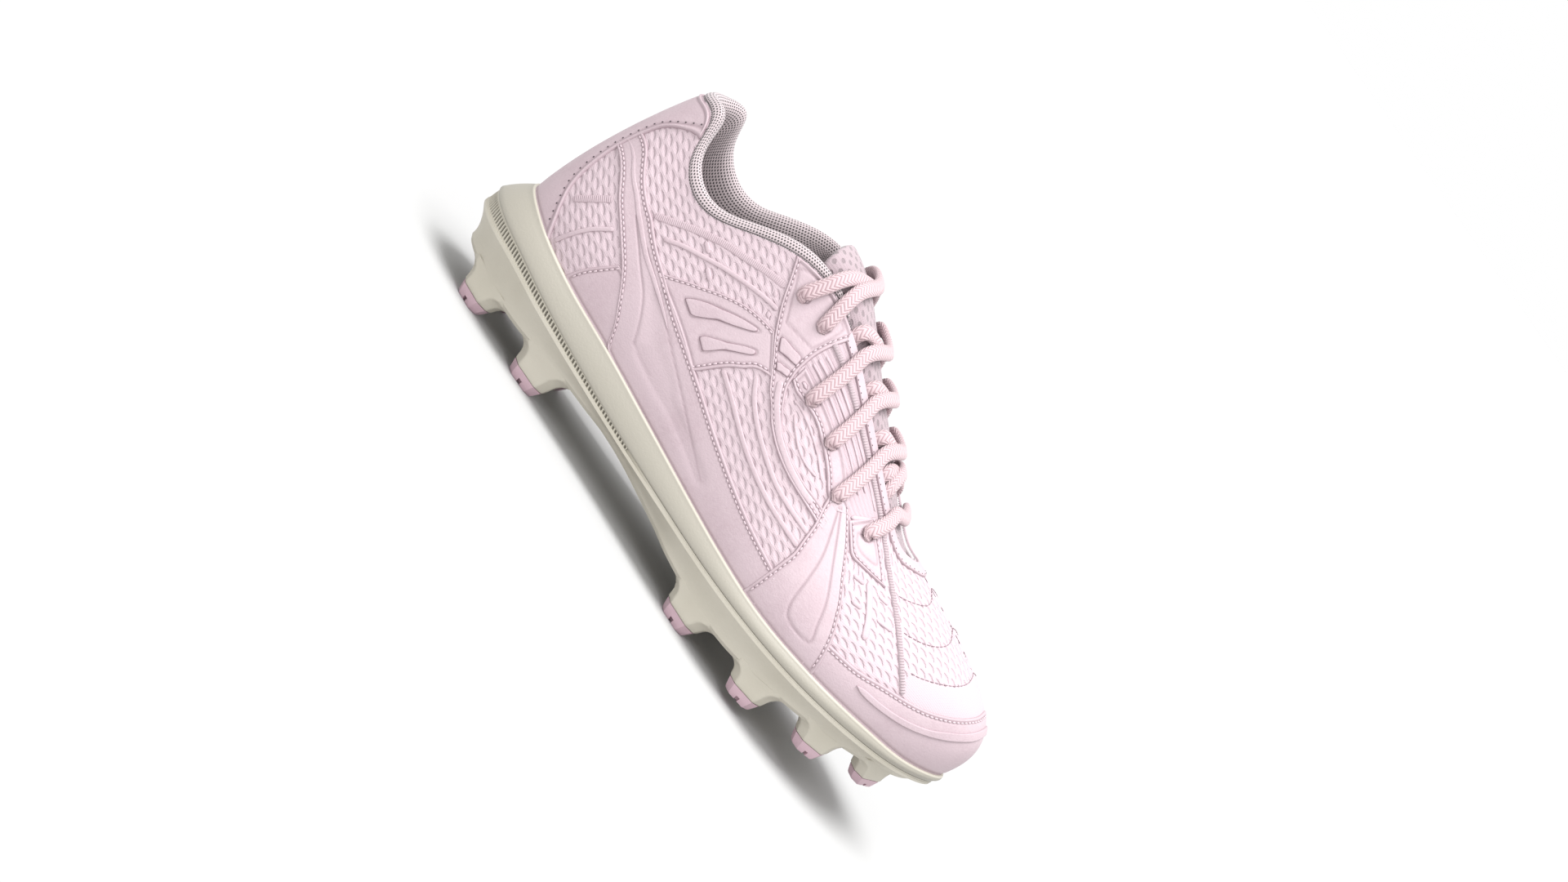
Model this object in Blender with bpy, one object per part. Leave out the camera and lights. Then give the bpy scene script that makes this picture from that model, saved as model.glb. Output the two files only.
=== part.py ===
"""Softball cleat for the right foot, standing empty on its studs.

Built on the last's own axes: x runs from the heel back to the toe, y towards the inner (medial) side and
z up from the floor. Sizes are in millimetres until the mesh is made, and every piece hangs on one empty
that puts the middle of the shoe's footprint at the origin.
"""

import math

import bmesh
import bpy
import numpy as np

MM = 0.001
UP = np.array((0.0, 0.0, 1.0))
SIDES = ((1, "lateral"), (-1, "medial"))

# Clearance between pieces, stations round the shoe, and the steps that directions are measured over
GAP = 0.3
AROUND = 68
STEP_S = 0.5
STEP_V = 0.01
WELD = 1e-7
SHARP_EDGE = math.radians(40)

PINK = (0.80, 0.50, 0.60)
DEEP_PINK = (0.72, 0.40, 0.50)
IVORY = (0.80, 0.76, 0.66)
PALE = (0.78, 0.74, 0.76)
CLOTH = 0.75
SYNTHETIC = 0.55
MOULDED = 0.5

# Upper: its wall, and its stand above the band
WALL = 2.2
UPPER_ROWS = 8
FOOT_SEAT = 0.3

# Band of the midsole: its lip outside the upper, the rounding of its edges and the swell of its side
BAND_LIP = 1.8
BAND_ROUND = 0.9
BAND_SWELL = 0.5

# Outline of the sole and shape of the upper, a row for each section from the heel to the toe.
# x, lateral and medial place the sole's edge. inset is from there to the foot of the upper, and flank to
# the foot of the plate. flare and rise steer the wall up from the sole. edge_x, edge_lat, edge_med, edge_z
# place the edge of the opening, raised by med_up on the medial side. slope and drop steer the wall down.
SECTION_COLUMNS = (
    "x lateral medial inset flank flare rise edge_x edge_lat edge_med edge_z med_up slope drop".split()
)
SECTIONS = (
    (0.0, 0.0, 0.0, 8.8, 13.0, 3, 22, 17.3, 0.0, 0.0, 117.2, 0.0, 75, 25),
    (5.5, 17.5, 17.0, 7.5, 9.0, 6, 22, 20.5, 10.5, 10.5, 117.2, 1.5, 78, 25),
    (18.0, 27.5, 27.0, 6.2, 6.8, 8, 22, 29.0, 17.2, 17.2, 115.0, 4.0, 82, 24),
    (30.0, 31.8, 31.0, 5.5, 6.0, 9, 21, 35.5, 20.5, 20.5, 103.0, 5.5, 84, 22),
    (46.0, 34.2, 33.0, 5.0, 5.5, 10, 20, 49.0, 24.4, 24.4, 95.2, 5.5, 86, 20),
    (75.0, 34.5, 31.5, 4.5, 7.0, 12, 20, 70.0, 25.5, 25.0, 103.0, 5.0, 80, 24),
    (110.0, 36.0, 31.0, 4.2, 9.0, 12, 22, 93.0, 24.0, 23.5, 116.0, 4.0, 68, 28),
    (142.0, 41.5, 36.5, 4.0, 8.0, 12, 22, 119.0, 20.0, 20.0, 116.5, 2.0, 52, 32),
    (172.0, 47.5, 43.5, 3.6, 5.5, 13, 22, 147.0, 16.5, 17.5, 105.5, 0.0, 42, 30),
    (200.0, 49.5, 47.5, 3.3, 5.0, 14, 21, 172.0, 14.0, 16.0, 94.0, 0.0, 36, 28),
    (227.0, 45.5, 47.0, 3.0, 5.0, 13, 21, 191.0, 10.5, 13.5, 85.0, 0.0, 28, 28),
    (250.0, 35.5, 41.5, 2.5, 5.0, 12, 22, 200.5, 7.0, 10.5, 81.8, 0.0, 18, 37),
    (268.0, 20.5, 30.5, 1.8, 5.0, 12, 26, 205.5, 3.0, 6.5, 82.0, 0.0, 8, 52),
    (280.0, -6.0, 6.0, 1.0, 6.0, 14, 28, 207.0, -1.8, 1.8, 82.3, 0.0, 5, 60),
)

# Heights along the sole: top of the band, its lower edge, foot of the plate, height of the ribbed strip.
HEIGHT_COLUMNS = "x top band plate strip".split()
HEIGHTS = (
    (0.0, 46.2, 32.2, 15.5, 5.6),
    (10.0, 44.6, 31.2, 13.6, 4.9),
    (30.0, 40.9, 29.6, 11.6, 3.4),
    (50.0, 38.3, 27.2, 11.6, 2.6),
    (78.0, 36.4, 24.4, 15.0, 1.6),
    (108.0, 33.9, 22.7, 15.6, 0.5),
    (142.0, 31.8, 22.7, 13.0, 0.4),
    (165.0, 31.0, 23.4, 11.4, 0.4),
    (190.0, 31.0, 25.0, 11.6, 0.4),
    (222.0, 33.9, 28.3, 17.6, 0.4),
    (250.0, 37.6, 32.6, 24.5, 0.4),
    (267.0, 39.9, 35.8, 29.6, 0.4),
    (281.0, 43.8, 39.6, 34.4, 0.4),
)

# Outsole: the ledge under the ribbed strip, the fillet below it, the plate's edge and its hollow middle
LEDGE_INSET = 0.3
LEDGE_HEIGHT = 1.2
STRIP_INSET = 1.4
FILLET_SHARE = 0.45
FILLET_IN = 0.75
PLATE_CHAMFER = 1.4
CHANNEL_INSET = 13.0
CHANNEL_RISE = 0.9

# Studs on each side: name, middle of the tip along the shoe, half length of the tip, height of its foot,
# and lean towards the toe in degrees.
STUDS = (
    ("heel_back", 28.2, 6.2, 0.0, 0),
    ("heel_front", 68.0, 6.8, 0.0, 0),
    ("ball", 174.0, 6.7, 0.0, 0),
    ("forefoot", 214.0, 6.2, 4.0, 6),
    ("toe_side", 247.0, 5.9, 11.6, 9),
    ("toe", 271.5, 5.0, 19.4, 20),
)
STUD_INSET = 10.5
TIP_HEIGHT = 4.4
# Levels of a stud: height, growth of its half length and its half depth. The tip's heights are from its
# foot, and the body's are shares of the way from there to the plate.
TIP_LEVELS = ((0.0, -0.6, 3.6), (0.6, 0.0, 4.1), (TIP_HEIGHT - GAP, 1.6, 4.9))
BODY_LEVELS = ((0.75, 3.0, 6.0), (0.93, 4.5, 7.0), (1.07, 4.7, 7.0))
BODY_FOOT = (TIP_HEIGHT, 1.7, 5.0)
# Corners of a stud's outline as shares of half length and half depth, outer face first.
STUD_CORNERS = (
    (-0.62, -1.0), (0.62, -1.0), (1.0, -0.25), (1.0, 0.55),
    (0.6, 1.0), (-0.6, 1.0), (-1.0, 0.55), (-1.0, -0.25),
)

# Insole: thickness, and clearance from the upper's wall and the midsole
INSOLE_THICK = 3.5
INSOLE_CLEAR = 1.2
INSOLE_SEAT = 0.4

# Collar: its outline, each point a rise above the upper's edge and a depth in from its outer face. Along
# the edge, counted in stations of the upper from the heel's middle, less of roll, pad and reach is left.
COLLAR_PROFILE = (
    (-26.0, 2.7), (-26.0, 3.7), (-16.0, 5.6), (-6.0, 6.6), (0.5, 6.6), (3.6, 5.2), (4.8, 2.8),
    (4.0, 0.4), (1.8, -0.4), (0.5, 0.0), (0.5, 2.7), (-8.0, 2.7), (-17.0, 2.7),
)
COLLAR_COLUMNS = "station roll pad reach".split()
COLLAR = (
    (0, 1.0, 1.0, 1.0),
    (10, 1.0, 1.0, 1.0),
    (12, 1.0, 0.7, 0.7),
    (14, 0.95, 0.4, 0.1),
    (16, 0.9, 0.4, 0.05),
    (17, 0.5, 0.3, 0.05),
)

# Instep, the form under the laces: the throat's share of the way across, its crown as a share of its width,
# how much of the wall the rest covers, and where the wall's direction is read.
THROAT_SHARE = 0.55
THROAT_CROWN = 0.36
MARGIN = 0.2
BELOW_EDGE = 0.98

# Tongue: flush in the throat and under the wall at its sides and foot, deeper at its top, inside the collar.
TONGUE_TOP = 136.0
TONGUE_FOOT = 9.0
TONGUE_WIDTH = 0.95
TONGUE_FLAT = 0.4
TONGUE_DEPTH = 0.4
TONGUE_CLEAR = 0.9
TONGUE_TUCK = 3.4
TUCK_END = 192.0
TUCK_RUN = 22.0
FOOT_DIP = 270.0
FOOT_RUN = 30.0
TONGUE_THICK = 3.5
TONGUE_ROWS = 13
TONGUE_COLUMNS = 10

# Overlays: thickness, stand off the upper, and their edges as places on the upper
OVERLAY = 1.0
OVERLAY_SEAT = 0.4
LOW = 0.015
HIGH = 0.985
COUNTER_COLUMNS = "v reach".split()
COUNTER = ((0.0, 47), (0.12, 38), (0.3, 29), (0.5, 23.5), (0.67, 21.5), (0.8, 24.5), (0.9, 31), (0.97, 36))
TOE_CAP_COLUMNS = "s high".split()
TOE_CAP = ((243, 0.2), (256, 0.27), (272, 0.32), (289, 0.37), (305, 0.43), (330, 0.5))
FOXING_COLUMNS = "s low high".split()
FOXING = (
    (28, 0.52, 0.61), (39, 0.51, 0.66), (57, 0.45, 0.73), (68, 0.37, 0.7), (79, 0.25, 0.615),
    (89, 0.11, 0.54),
    (96, 0.015, 0.48), (109, 0.015, 0.4), (124, 0.015, 0.335), (142, 0.015, 0.28), (161, 0.015, 0.24),
    (198, 0.015, 0.2),
)
# The saddle's rows from its foot up: place of its back edge, then of its front edge
SADDLE = (
    (87, 0.58, 123, 0.37), (97, 0.635, 129, 0.43), (111, 0.685, 136, 0.51), (125, 0.7, 141, 0.565),
    (134, 0.7, 143, 0.585),
)
STRAP_COLUMNS = "v back front".split()
STRAP = (
    (0.015, 201, 240), (0.23, 203, 234), (0.4, 203, 230), (0.5, 201, 226), (0.58, 198, 219),
    (0.66, 198, 208),
)
EYESTAY_COLUMNS = "s low".split()
EYESTAY = (
    (124, 0.94), (130, 0.83), (138, 0.68), (146, 0.59), (152, 0.66), (158, 0.8), (170, 0.835), (207, 0.83),
    (233, 0.83), (255, 0.8), (285, 0.86), (330, 0.89),
)

# Lace: width and thickness, and for each row of eyelets, from the top, s and v of the eyelet and s of the
# strand where it crosses the middle of the throat. A strand that goes under the far side stops short of it.
LACE_WIDTH = 6.2
LACE_THICK = 3.0
LACE_SIDES = 6
LACE_STATIONS = 9
LACE = (
    (137, 0.89, 141), (152, 0.88, 150), (167, 0.7, 181), (186, 0.71, 198), (203, 0.65, 217),
    (227, 0.74, 246),
)
UNDER_SHARE = 0.7
UNDER_BACK = 0.2
LOW_CROSSING = (231.0, 229.0, 224.0)
LACE_LIFT = OVERLAY_SEAT + OVERLAY + GAP + LACE_THICK / 2
LOW_LIFT = GAP + LACE_THICK / 2


def column(table, names, name):
    return np.array([row[names.index(name)] for row in table], float)


def section(name):
    return column(SECTIONS, SECTION_COLUMNS, name)


def both_sides(lateral, medial):
    """A closed ring of rows: the lateral side from heel to toe, then the medial side back to the heel."""
    return np.concatenate((lateral, medial[-2:0:-1]))


def unit(vectors):
    return vectors / np.linalg.norm(vectors, axis=-1, keepdims=True)


def closed_spline(knots, period, rows, at):
    """A smooth closed curve through rows, one row per knot, read at the places in at."""
    rows = rows.reshape(len(rows), -1)
    step = np.diff(np.append(knots, period))
    before = np.roll(step, 1)
    slope = (np.roll(rows, -1, 0) - rows) / step[:, None]
    count = len(rows)
    matrix = np.diag(2.0 * (before + step))
    for i in range(count):
        matrix[i, i - 1] += before[i]
        matrix[i, (i + 1) % count] += step[i]
    bend = np.linalg.solve(matrix, 6.0 * (slope - np.roll(slope, 1, 0)))
    at = np.mod(at, period)
    low = np.searchsorted(knots, at, side="right") - 1
    high = (low + 1) % count
    span = step[low][..., None]
    b = (at - knots[low])[..., None] / span
    a = 1.0 - b
    bent = ((a**3 - a) * bend[low] + (b**3 - b) * bend[high]) * span**2 / 6.0
    return a * rows[low] + b * rows[high] + bent


def smooth(at, xs, ys):
    """A smooth curve through a table's points."""
    slope = np.gradient(ys, xs)
    low = np.clip(np.searchsorted(xs, at) - 1, 0, len(xs) - 2)
    span = xs[low + 1] - xs[low]
    t = np.clip((at - xs[low]) / span, 0.0, 1.0)
    ends = (1 + 2 * t) * (1 - t) ** 2 * ys[low] + t * t * (3 - 2 * t) * ys[low + 1]
    return ends + span * (t * (1 - t) ** 2 * slope[low] - t * t * (1 - t) * slope[low + 1])


def height(name, x):
    return smooth(x, column(HEIGHTS, HEIGHT_COLUMNS, "x"), column(HEIGHTS, HEIGHT_COLUMNS, name))


# A place on the shoe is s, the way along the sole's edge from the heel's middle, lateral side positive, and
# v, the share of the way up the wall to the edge of the opening.
LATERAL_EDGE = np.stack((section("x"), -section("lateral")), 1)
MEDIAL_EDGE = np.stack((section("x"), section("medial")), 1)
CHORDS = np.linalg.norm(np.diff((LATERAL_EDGE, MEDIAL_EDGE), axis=1), axis=2)
HALF_KNOTS = np.append(0.0, np.cumsum(CHORDS.mean(0)))
TOE = HALF_KNOTS[-1]
PERIOD = 2 * TOE
KNOTS = np.append(HALF_KNOTS, PERIOD - HALF_KNOTS[-2:0:-1])
RING = np.arange(AROUND) * PERIOD / AROUND
FINE = np.linspace(0.0, TOE, 400)


def around(name, s):
    """A section column read at s, the same on both sides."""
    return closed_spline(KNOTS, PERIOD, both_sides(section(name), section(name)), s)[..., 0]


def sole_edge(s, inset):
    """The sole's outline in plan moved inwards by inset, and the outward direction there."""
    rows = both_sides(LATERAL_EDGE, MEDIAL_EDGE)
    point = closed_spline(KNOTS, PERIOD, rows, s)
    ahead = closed_spline(KNOTS, PERIOD, rows, s + STEP_S) - closed_spline(KNOTS, PERIOD, rows, s - STEP_S)
    out = unit(np.stack((ahead[..., 1], -ahead[..., 0]), -1))
    return point - out * np.asarray(inset)[..., None], out


def opening_edge(s):
    lateral = np.stack((section("edge_x"), -section("edge_lat"), section("edge_z")), 1)
    medial = np.stack((section("edge_x"), section("edge_med"), section("edge_z") + section("med_up")), 1)
    return closed_spline(KNOTS, PERIOD, both_sides(lateral, medial), s)


def flat(vectors, z):
    """Plan vectors made three-dimensional with height z."""
    return np.concatenate((vectors, np.broadcast_to(z, vectors.shape[:-1])[..., None]), -1)


def upper_point(s, v):
    """The outside of the upper: each section is a curve from the sole's edge to the edge of the opening."""
    s, v = np.broadcast_arrays(np.asarray(s, float), np.asarray(v, float))
    plan, out = sole_edge(s, around("inset", s))
    foot = flat(plan, height("top", plan[..., 0]) + FOOT_SEAT)
    flare = np.radians(around("flare", s))[..., None]
    above = foot + around("rise", s)[..., None] * (flat(out, 0.0) * np.sin(flare) + UP * np.cos(flare))
    edge = opening_edge(s)
    away = flat(unit((foot - edge)[..., :2]), 0.0)
    slope = np.radians(around("slope", s))[..., None]
    below = edge + around("drop", s)[..., None] * (away * np.cos(slope) - UP * np.sin(slope))
    v = v[..., None]
    return (1 - v) ** 3 * foot + 3 * v * (1 - v) ** 2 * above + 3 * v * v * (1 - v) * below + v**3 * edge


def upper_skin(s, v, depth=0.0):
    """The upper's surface moved inwards by depth."""
    s, v = np.broadcast_arrays(np.asarray(s, float), np.asarray(v, float))
    along = upper_point(s + STEP_S, v) - upper_point(s - STEP_S, v)
    rising = upper_point(s, v + STEP_V) - upper_point(s, v - STEP_V)
    return upper_point(s, v) - unit(np.cross(along, rising)) * np.asarray(depth)[..., None]


def new_object(name, bm, colour, roughness):
    """The piece as an object of its own, hung on the shoe's empty, with its own material."""
    mesh = bpy.data.meshes.new(name)
    bm.to_mesh(mesh)
    bm.free()
    mesh.shade_smooth()
    mesh.set_sharp_from_angle(angle=SHARP_EDGE)
    material = bpy.data.materials.new(name)
    material.use_nodes = True
    shader = material.node_tree.nodes["Principled BSDF"]
    shader.inputs["Base Color"].default_value = (*colour, 1.0)
    shader.inputs["Roughness"].default_value = roughness
    mesh.materials.append(material)
    obj = bpy.data.objects.new(name, mesh)
    bpy.context.scene.collection.objects.link(obj)
    obj.parent = shoe
    return obj


def sheet(name, place, columns, rows, thickness, side, colour, roughness):
    """A grid bent to place(a, b), a and b from 0 to 1, thickened inwards (side -1) or outwards (side 1)."""
    bm = bmesh.new()
    bmesh.ops.create_grid(bm, x_segments=columns, y_segments=rows, size=0.5)
    grid = np.array([vert.co for vert in bm.verts]) + 0.5
    for vert, point in zip(bm.verts, place(grid[:, 0], grid[:, 1]) * MM):
        vert.co = point
    bmesh.ops.remove_doubles(bm, verts=bm.verts, dist=WELD)
    obj = new_object(name, bm, colour, roughness)
    wall = obj.modifiers.new("wall", "SOLIDIFY")
    wall.thickness = thickness * MM
    wall.offset = side
    return obj


def loft(bm, loops, strips=False):
    """A closed body through loops of points. Its ends are single faces, or strips across a sole."""
    rings = [[bm.verts.new(point) for point in loop * MM] for loop in loops]
    count = len(rings[0])
    for low, high in zip(rings, rings[1:]):
        for i in range(count):
            j = (i + 1) % count
            bm.faces.new((low[i], low[j], high[j], high[i]))
    for ring in (rings[0], rings[-1]):
        if strips:
            for i in range(count // 2):
                corners = (ring[i], ring[i + 1], ring[count - i - 1], ring[-i])
                bm.faces.new(list(dict.fromkeys(corners)))
        else:
            bm.faces.new(ring)
    bmesh.ops.recalc_face_normals(bm, faces=bm.faces)


def sole_ring(inset, name, offset):
    """A level of the sole: its outline moved in by inset, at a height from the table moved up by offset."""
    plan, _ = sole_edge(RING, np.broadcast_to(inset, RING.shape))
    return flat(plan, height(name, plan[:, 0]) + offset)


def build_midsole():
    wall = around("inset", RING) - BAND_LIP
    top = sole_ring(wall, "top", -BAND_ROUND)
    foot = sole_ring(0.0 * RING, "band", BAND_ROUND)
    bm = bmesh.new()
    loft(
        bm,
        (
            sole_ring(0.0 * RING + BAND_ROUND, "band", 0.0),
            foot,
            foot * 0.5 + top * 0.5 + flat(sole_edge(RING, 0.0 * RING)[1], 0.0) * BAND_SWELL,
            top,
            sole_ring(wall + BAND_ROUND, "top", 0.0),
        ),
        strips=True,
    )
    new_object("midsole", bm, IVORY, MOULDED)


def stud_loops(row, side, levels):
    """Outlines of one stud at the given levels: height, growth in half length and half depth."""
    _, x, half, foot, lean = row
    s = np.interp(x, sole_edge(FINE, 0.0 * FINE)[0][:, 0], FINE)
    plan, out = sole_edge(np.array([side * s]), np.array([STUD_INSET]))
    out = flat(out, 0.0)[0]
    forward = side * np.cross(UP, out)
    tilt = math.radians(lean)
    ahead = forward * math.cos(tilt) + UP * math.sin(tilt)
    up = UP * math.cos(tilt) - forward * math.sin(tilt)
    middle = flat(plan, foot)[0]
    corners = np.array(STUD_CORNERS)
    loops = []
    for rise, growth, depth in levels:
        along = np.outer(corners[:, 0] * (half + growth), ahead)
        across = np.outer(corners[:, 1] * depth, -out)
        loops.append(middle + up * rise + along + across)
    return loops


def build_outsole():
    flank = around("flank", RING)
    strip = height("strip", sole_edge(RING, 0.0 * RING)[0][:, 0])
    inset = np.full(RING.shape, STRIP_INSET)
    ledge = np.full(RING.shape, LEDGE_INSET)
    under = sole_ring(ledge, "band", -strip - LEDGE_HEIGHT - GAP)
    foot = sole_ring(flank, "plate", PLATE_CHAMFER)
    fillet = FILLET_SHARE * under + (1 - FILLET_SHARE) * foot
    fillet[:, :2] = FILLET_IN * foot[:, :2] + (1 - FILLET_IN) * under[:, :2]
    bm = bmesh.new()
    loft(
        bm,
        (
            sole_ring(inset, "band", -GAP),
            sole_ring(inset, "band", -strip - GAP),
            sole_ring(ledge, "band", -strip - GAP),
            under,
            fillet,
            foot,
            sole_ring(flank + PLATE_CHAMFER, "plate", 0.0),
            sole_ring(flank + CHANNEL_INSET, "plate", CHANNEL_RISE),
        ),
        strips=True,
    )
    outsole = new_object("outsole", bm, IVORY, MOULDED)
    bm = bmesh.new()
    for row in STUDS:
        for side, side_name in SIDES:
            _, x, _, foot, _ = row
            reach = height("plate", np.array([x]))[0] - foot
            body = [BODY_FOOT] + [(share * reach, growth, depth) for share, growth, depth in BODY_LEVELS]
            loft(bm, stud_loops(row, side, body))
            tip = bmesh.new()
            loft(tip, stud_loops(row, side, TIP_LEVELS))
            new_object(f"stud_tip_{row[0]}_{side_name}", tip, DEEP_PINK, MOULDED)
    bodies = new_object("stud_bodies", bm, IVORY, MOULDED)
    bodies.hide_render = True
    bodies.display_type = "WIRE"
    join = outsole.modifiers.new("studs", "BOOLEAN")
    join.operation = "UNION"
    join.use_self = True
    join.object = bodies


def build_insole():
    inset = around("inset", RING) + WALL + INSOLE_CLEAR
    bm = bmesh.new()
    levels = (INSOLE_SEAT, INSOLE_SEAT + INSOLE_THICK)
    loft(bm, [sole_ring(inset, "top", level) for level in levels], strips=True)
    new_object("insole", bm, PALE, CLOTH)


def build_upper():
    sheet("upper", lambda a, b: upper_skin(a * PERIOD, b), AROUND, UPPER_ROWS, WALL, -1, PINK, CLOTH)


def build_collar():
    """The padded roll on the edge of the opening, from the throat round the heel and back to the throat."""
    stations = column(COLLAR, COLLAR_COLUMNS, "station")
    last = int(stations[-1])
    rise, depth = np.array(COLLAR_PROFILE).T
    seat = depth[0]
    loops = []
    for step in range(-last, last + 1):
        s = step * PERIOD / AROUND
        roll, pad, reach = (
            np.interp(abs(step), stations, column(COLLAR, COLLAR_COLUMNS, name))
            for name in COLLAR_COLUMNS[1:]
        )
        rib = np.linalg.norm(upper_point(s, 1.0) - upper_point(s, BELOW_EDGE)) / (1.0 - BELOW_EDGE)
        lifted = np.where(rise > GAP, GAP + (rise - GAP) * roll, np.where(rise < 0, rise * reach, rise))
        sunk = np.where(depth > seat, seat + (depth - seat) * pad, depth)
        loops.append(upper_skin(np.full(len(rise), s), 1.0 + lifted / rib, sunk))
    bm = bmesh.new()
    loft(bm, loops)
    new_object("collar", bm, PALE, CLOTH)


def instep_point(s, q):
    """The form under the laces. Across it q runs up the lateral wall, over the throat and down again."""
    s, q = np.broadcast_arrays(np.asarray(s, float), np.asarray(q, float))
    share = np.maximum((np.abs(q) - THROAT_SHARE) / (1 - THROAT_SHARE), 0.0)
    side = np.where(q < 0, 1.0, -1.0)
    wall = upper_point(side * s, 1.0 - MARGIN * share)
    left, right = upper_point(s, 1.0), upper_point(-s, 1.0)
    lift_left = unit(left - upper_point(s, BELOW_EDGE))
    lift_right = unit(right - upper_point(-s, BELOW_EDGE))
    reach = THROAT_CROWN * np.linalg.norm(right - left, axis=-1, keepdims=True)
    t = np.clip((q / THROAT_SHARE + 1) / 2, 0.0, 1.0)[..., None]
    arch = (
        (1 - t) ** 3 * left
        + 3 * t * (1 - t) ** 2 * (left + reach * lift_left)
        + 3 * t * t * (1 - t) * (right + reach * lift_right)
        + t**3 * right
    )
    return np.where(np.abs(q)[..., None] > THROAT_SHARE, wall, arch)


def instep_out(s, q):
    """The outward direction of that form."""
    along = instep_point(s + STEP_S, q) - instep_point(s - STEP_S, q)
    across = instep_point(s, q + STEP_V) - instep_point(s, q - STEP_V)
    return unit(np.cross(along, across))


def build_tongue():
    def place(a, b):
        s = TONGUE_TOP + a * (TOE - TONGUE_FOOT - TONGUE_TOP)
        q = TONGUE_WIDTH * (2 * b - 1)
        under = np.clip((np.abs(q) / THROAT_SHARE - TONGUE_FLAT) / (1 - TONGUE_FLAT), 0.0, 1.0)
        under = np.maximum(under * under * (3 - 2 * under), np.clip((s - FOOT_DIP) / FOOT_RUN, 0.0, 1.0))
        tuck = TONGUE_TUCK * np.clip((TUCK_END - s) / TUCK_RUN, 0.0, 1.0)
        depth = TONGUE_DEPTH + (WALL + TONGUE_CLEAR + tuck - TONGUE_DEPTH) * under
        return instep_point(s, q) - instep_out(s, q) * depth[:, None]

    sheet("tongue", place, TONGUE_ROWS, TONGUE_COLUMNS, TONGUE_THICK, -1, PINK, CLOTH)


def overlay(name, place, columns, rows):
    """A thin panel on the upper, with place(a, b) giving s and v."""

    def stand(a, b):
        s, v = place(a, b)
        return upper_skin(s, v, np.full(s.shape, -OVERLAY_SEAT))

    sheet(name, stand, columns, rows, OVERLAY, 1, PINK, SYNTHETIC)


def edge(table, names, name, at):
    """A column of an overlay's table, read along the table's first column."""
    return np.interp(at, column(table, names, names[0]), column(table, names, name))


def build_heel_counter():
    def place(a, b):
        v = LOW + (COUNTER[-1][0] - LOW) * b
        return (2 * a - 1) * edge(COUNTER, COUNTER_COLUMNS, "reach", v), v

    overlay("heel_counter", place, 18, 8)


def build_toe_cap():
    def place(a, b):
        first = TOE_CAP[0][0]
        s = first + 2 * (TOE - first) * a
        high = edge(TOE_CAP, TOE_CAP_COLUMNS, "high", np.minimum(s, PERIOD - s))
        return s, LOW + (high - LOW) * b

    overlay("toe_cap", place, 26, 4)


def build_side_panels():
    """The long panel from heel to ball, the saddle above it and the strap in front of it, on both sides."""
    for side, side_name in SIDES:

        def foxing(a, b):
            first, last = FOXING[0][0], FOXING[-1][0]
            s = first + (last - first) * (a if side > 0 else 1 - a)
            low = edge(FOXING, FOXING_COLUMNS, "low", s)
            return side * s, low + (edge(FOXING, FOXING_COLUMNS, "high", s) - low) * b

        def saddle(a, b):
            row = np.linspace(0.0, 1.0, len(SADDLE))
            back_s, back_v, front_s, front_v = (np.interp(b, row, values) for values in np.array(SADDLE).T)
            share = a if side > 0 else 1 - a
            return side * (back_s + (front_s - back_s) * share), back_v + (front_v - back_v) * share

        def strap(a, b):
            v = STRAP[0][0] + (STRAP[-1][0] - STRAP[0][0]) * b
            back = edge(STRAP, STRAP_COLUMNS, "back", v)
            front = edge(STRAP, STRAP_COLUMNS, "front", v)
            return side * (back + (front - back) * (a if side > 0 else 1 - a)), v

        overlay(f"foxing_{side_name}", foxing, 18, 3)
        overlay(f"saddle_{side_name}", saddle, 4, 6)
        overlay(f"forefoot_strap_{side_name}", strap, 4, 6)


def build_eyestay():
    def place(a, b):
        first = EYESTAY[0][0]
        s = first + 2 * (TOE - first) * a
        low = edge(EYESTAY, EYESTAY_COLUMNS, "low", np.minimum(s, PERIOD - s))
        return s, low + (HIGH - low) * b

    overlay("eyestay", place, 54, 3)


def eyelet_share(v):
    """Where an eyelet at v lies in the shares of instep_point, on the lateral side."""
    return -(THROAT_SHARE + (1 - THROAT_SHARE) * (1 - v) / MARGIN)


def strand_loops(start, crown, end, lift, side):
    """A flat strand over the instep from start to end, both (s, q), passing the middle at crown."""
    q = np.linspace(start[1], end[1], LACE_STATIONS)
    s = smooth(q, np.array((start[1], 0.0, end[1])), np.array((start[0], crown, end[0]), float))
    q = q * side
    out = instep_out(s, q)
    path = instep_point(s, q) + out * lift
    ahead = unit(np.gradient(path, axis=0))
    flank = unit(np.cross(ahead, out))
    rise = np.cross(flank, ahead)
    turn = np.arange(LACE_SIDES) * 2 * np.pi / LACE_SIDES
    round_flank = np.cos(turn)[:, None, None] * flank * LACE_WIDTH / 2
    round_rise = np.sin(turn)[:, None, None] * rise * LACE_THICK / 2
    return (path + round_flank + round_rise).transpose(1, 0, 2)


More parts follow.
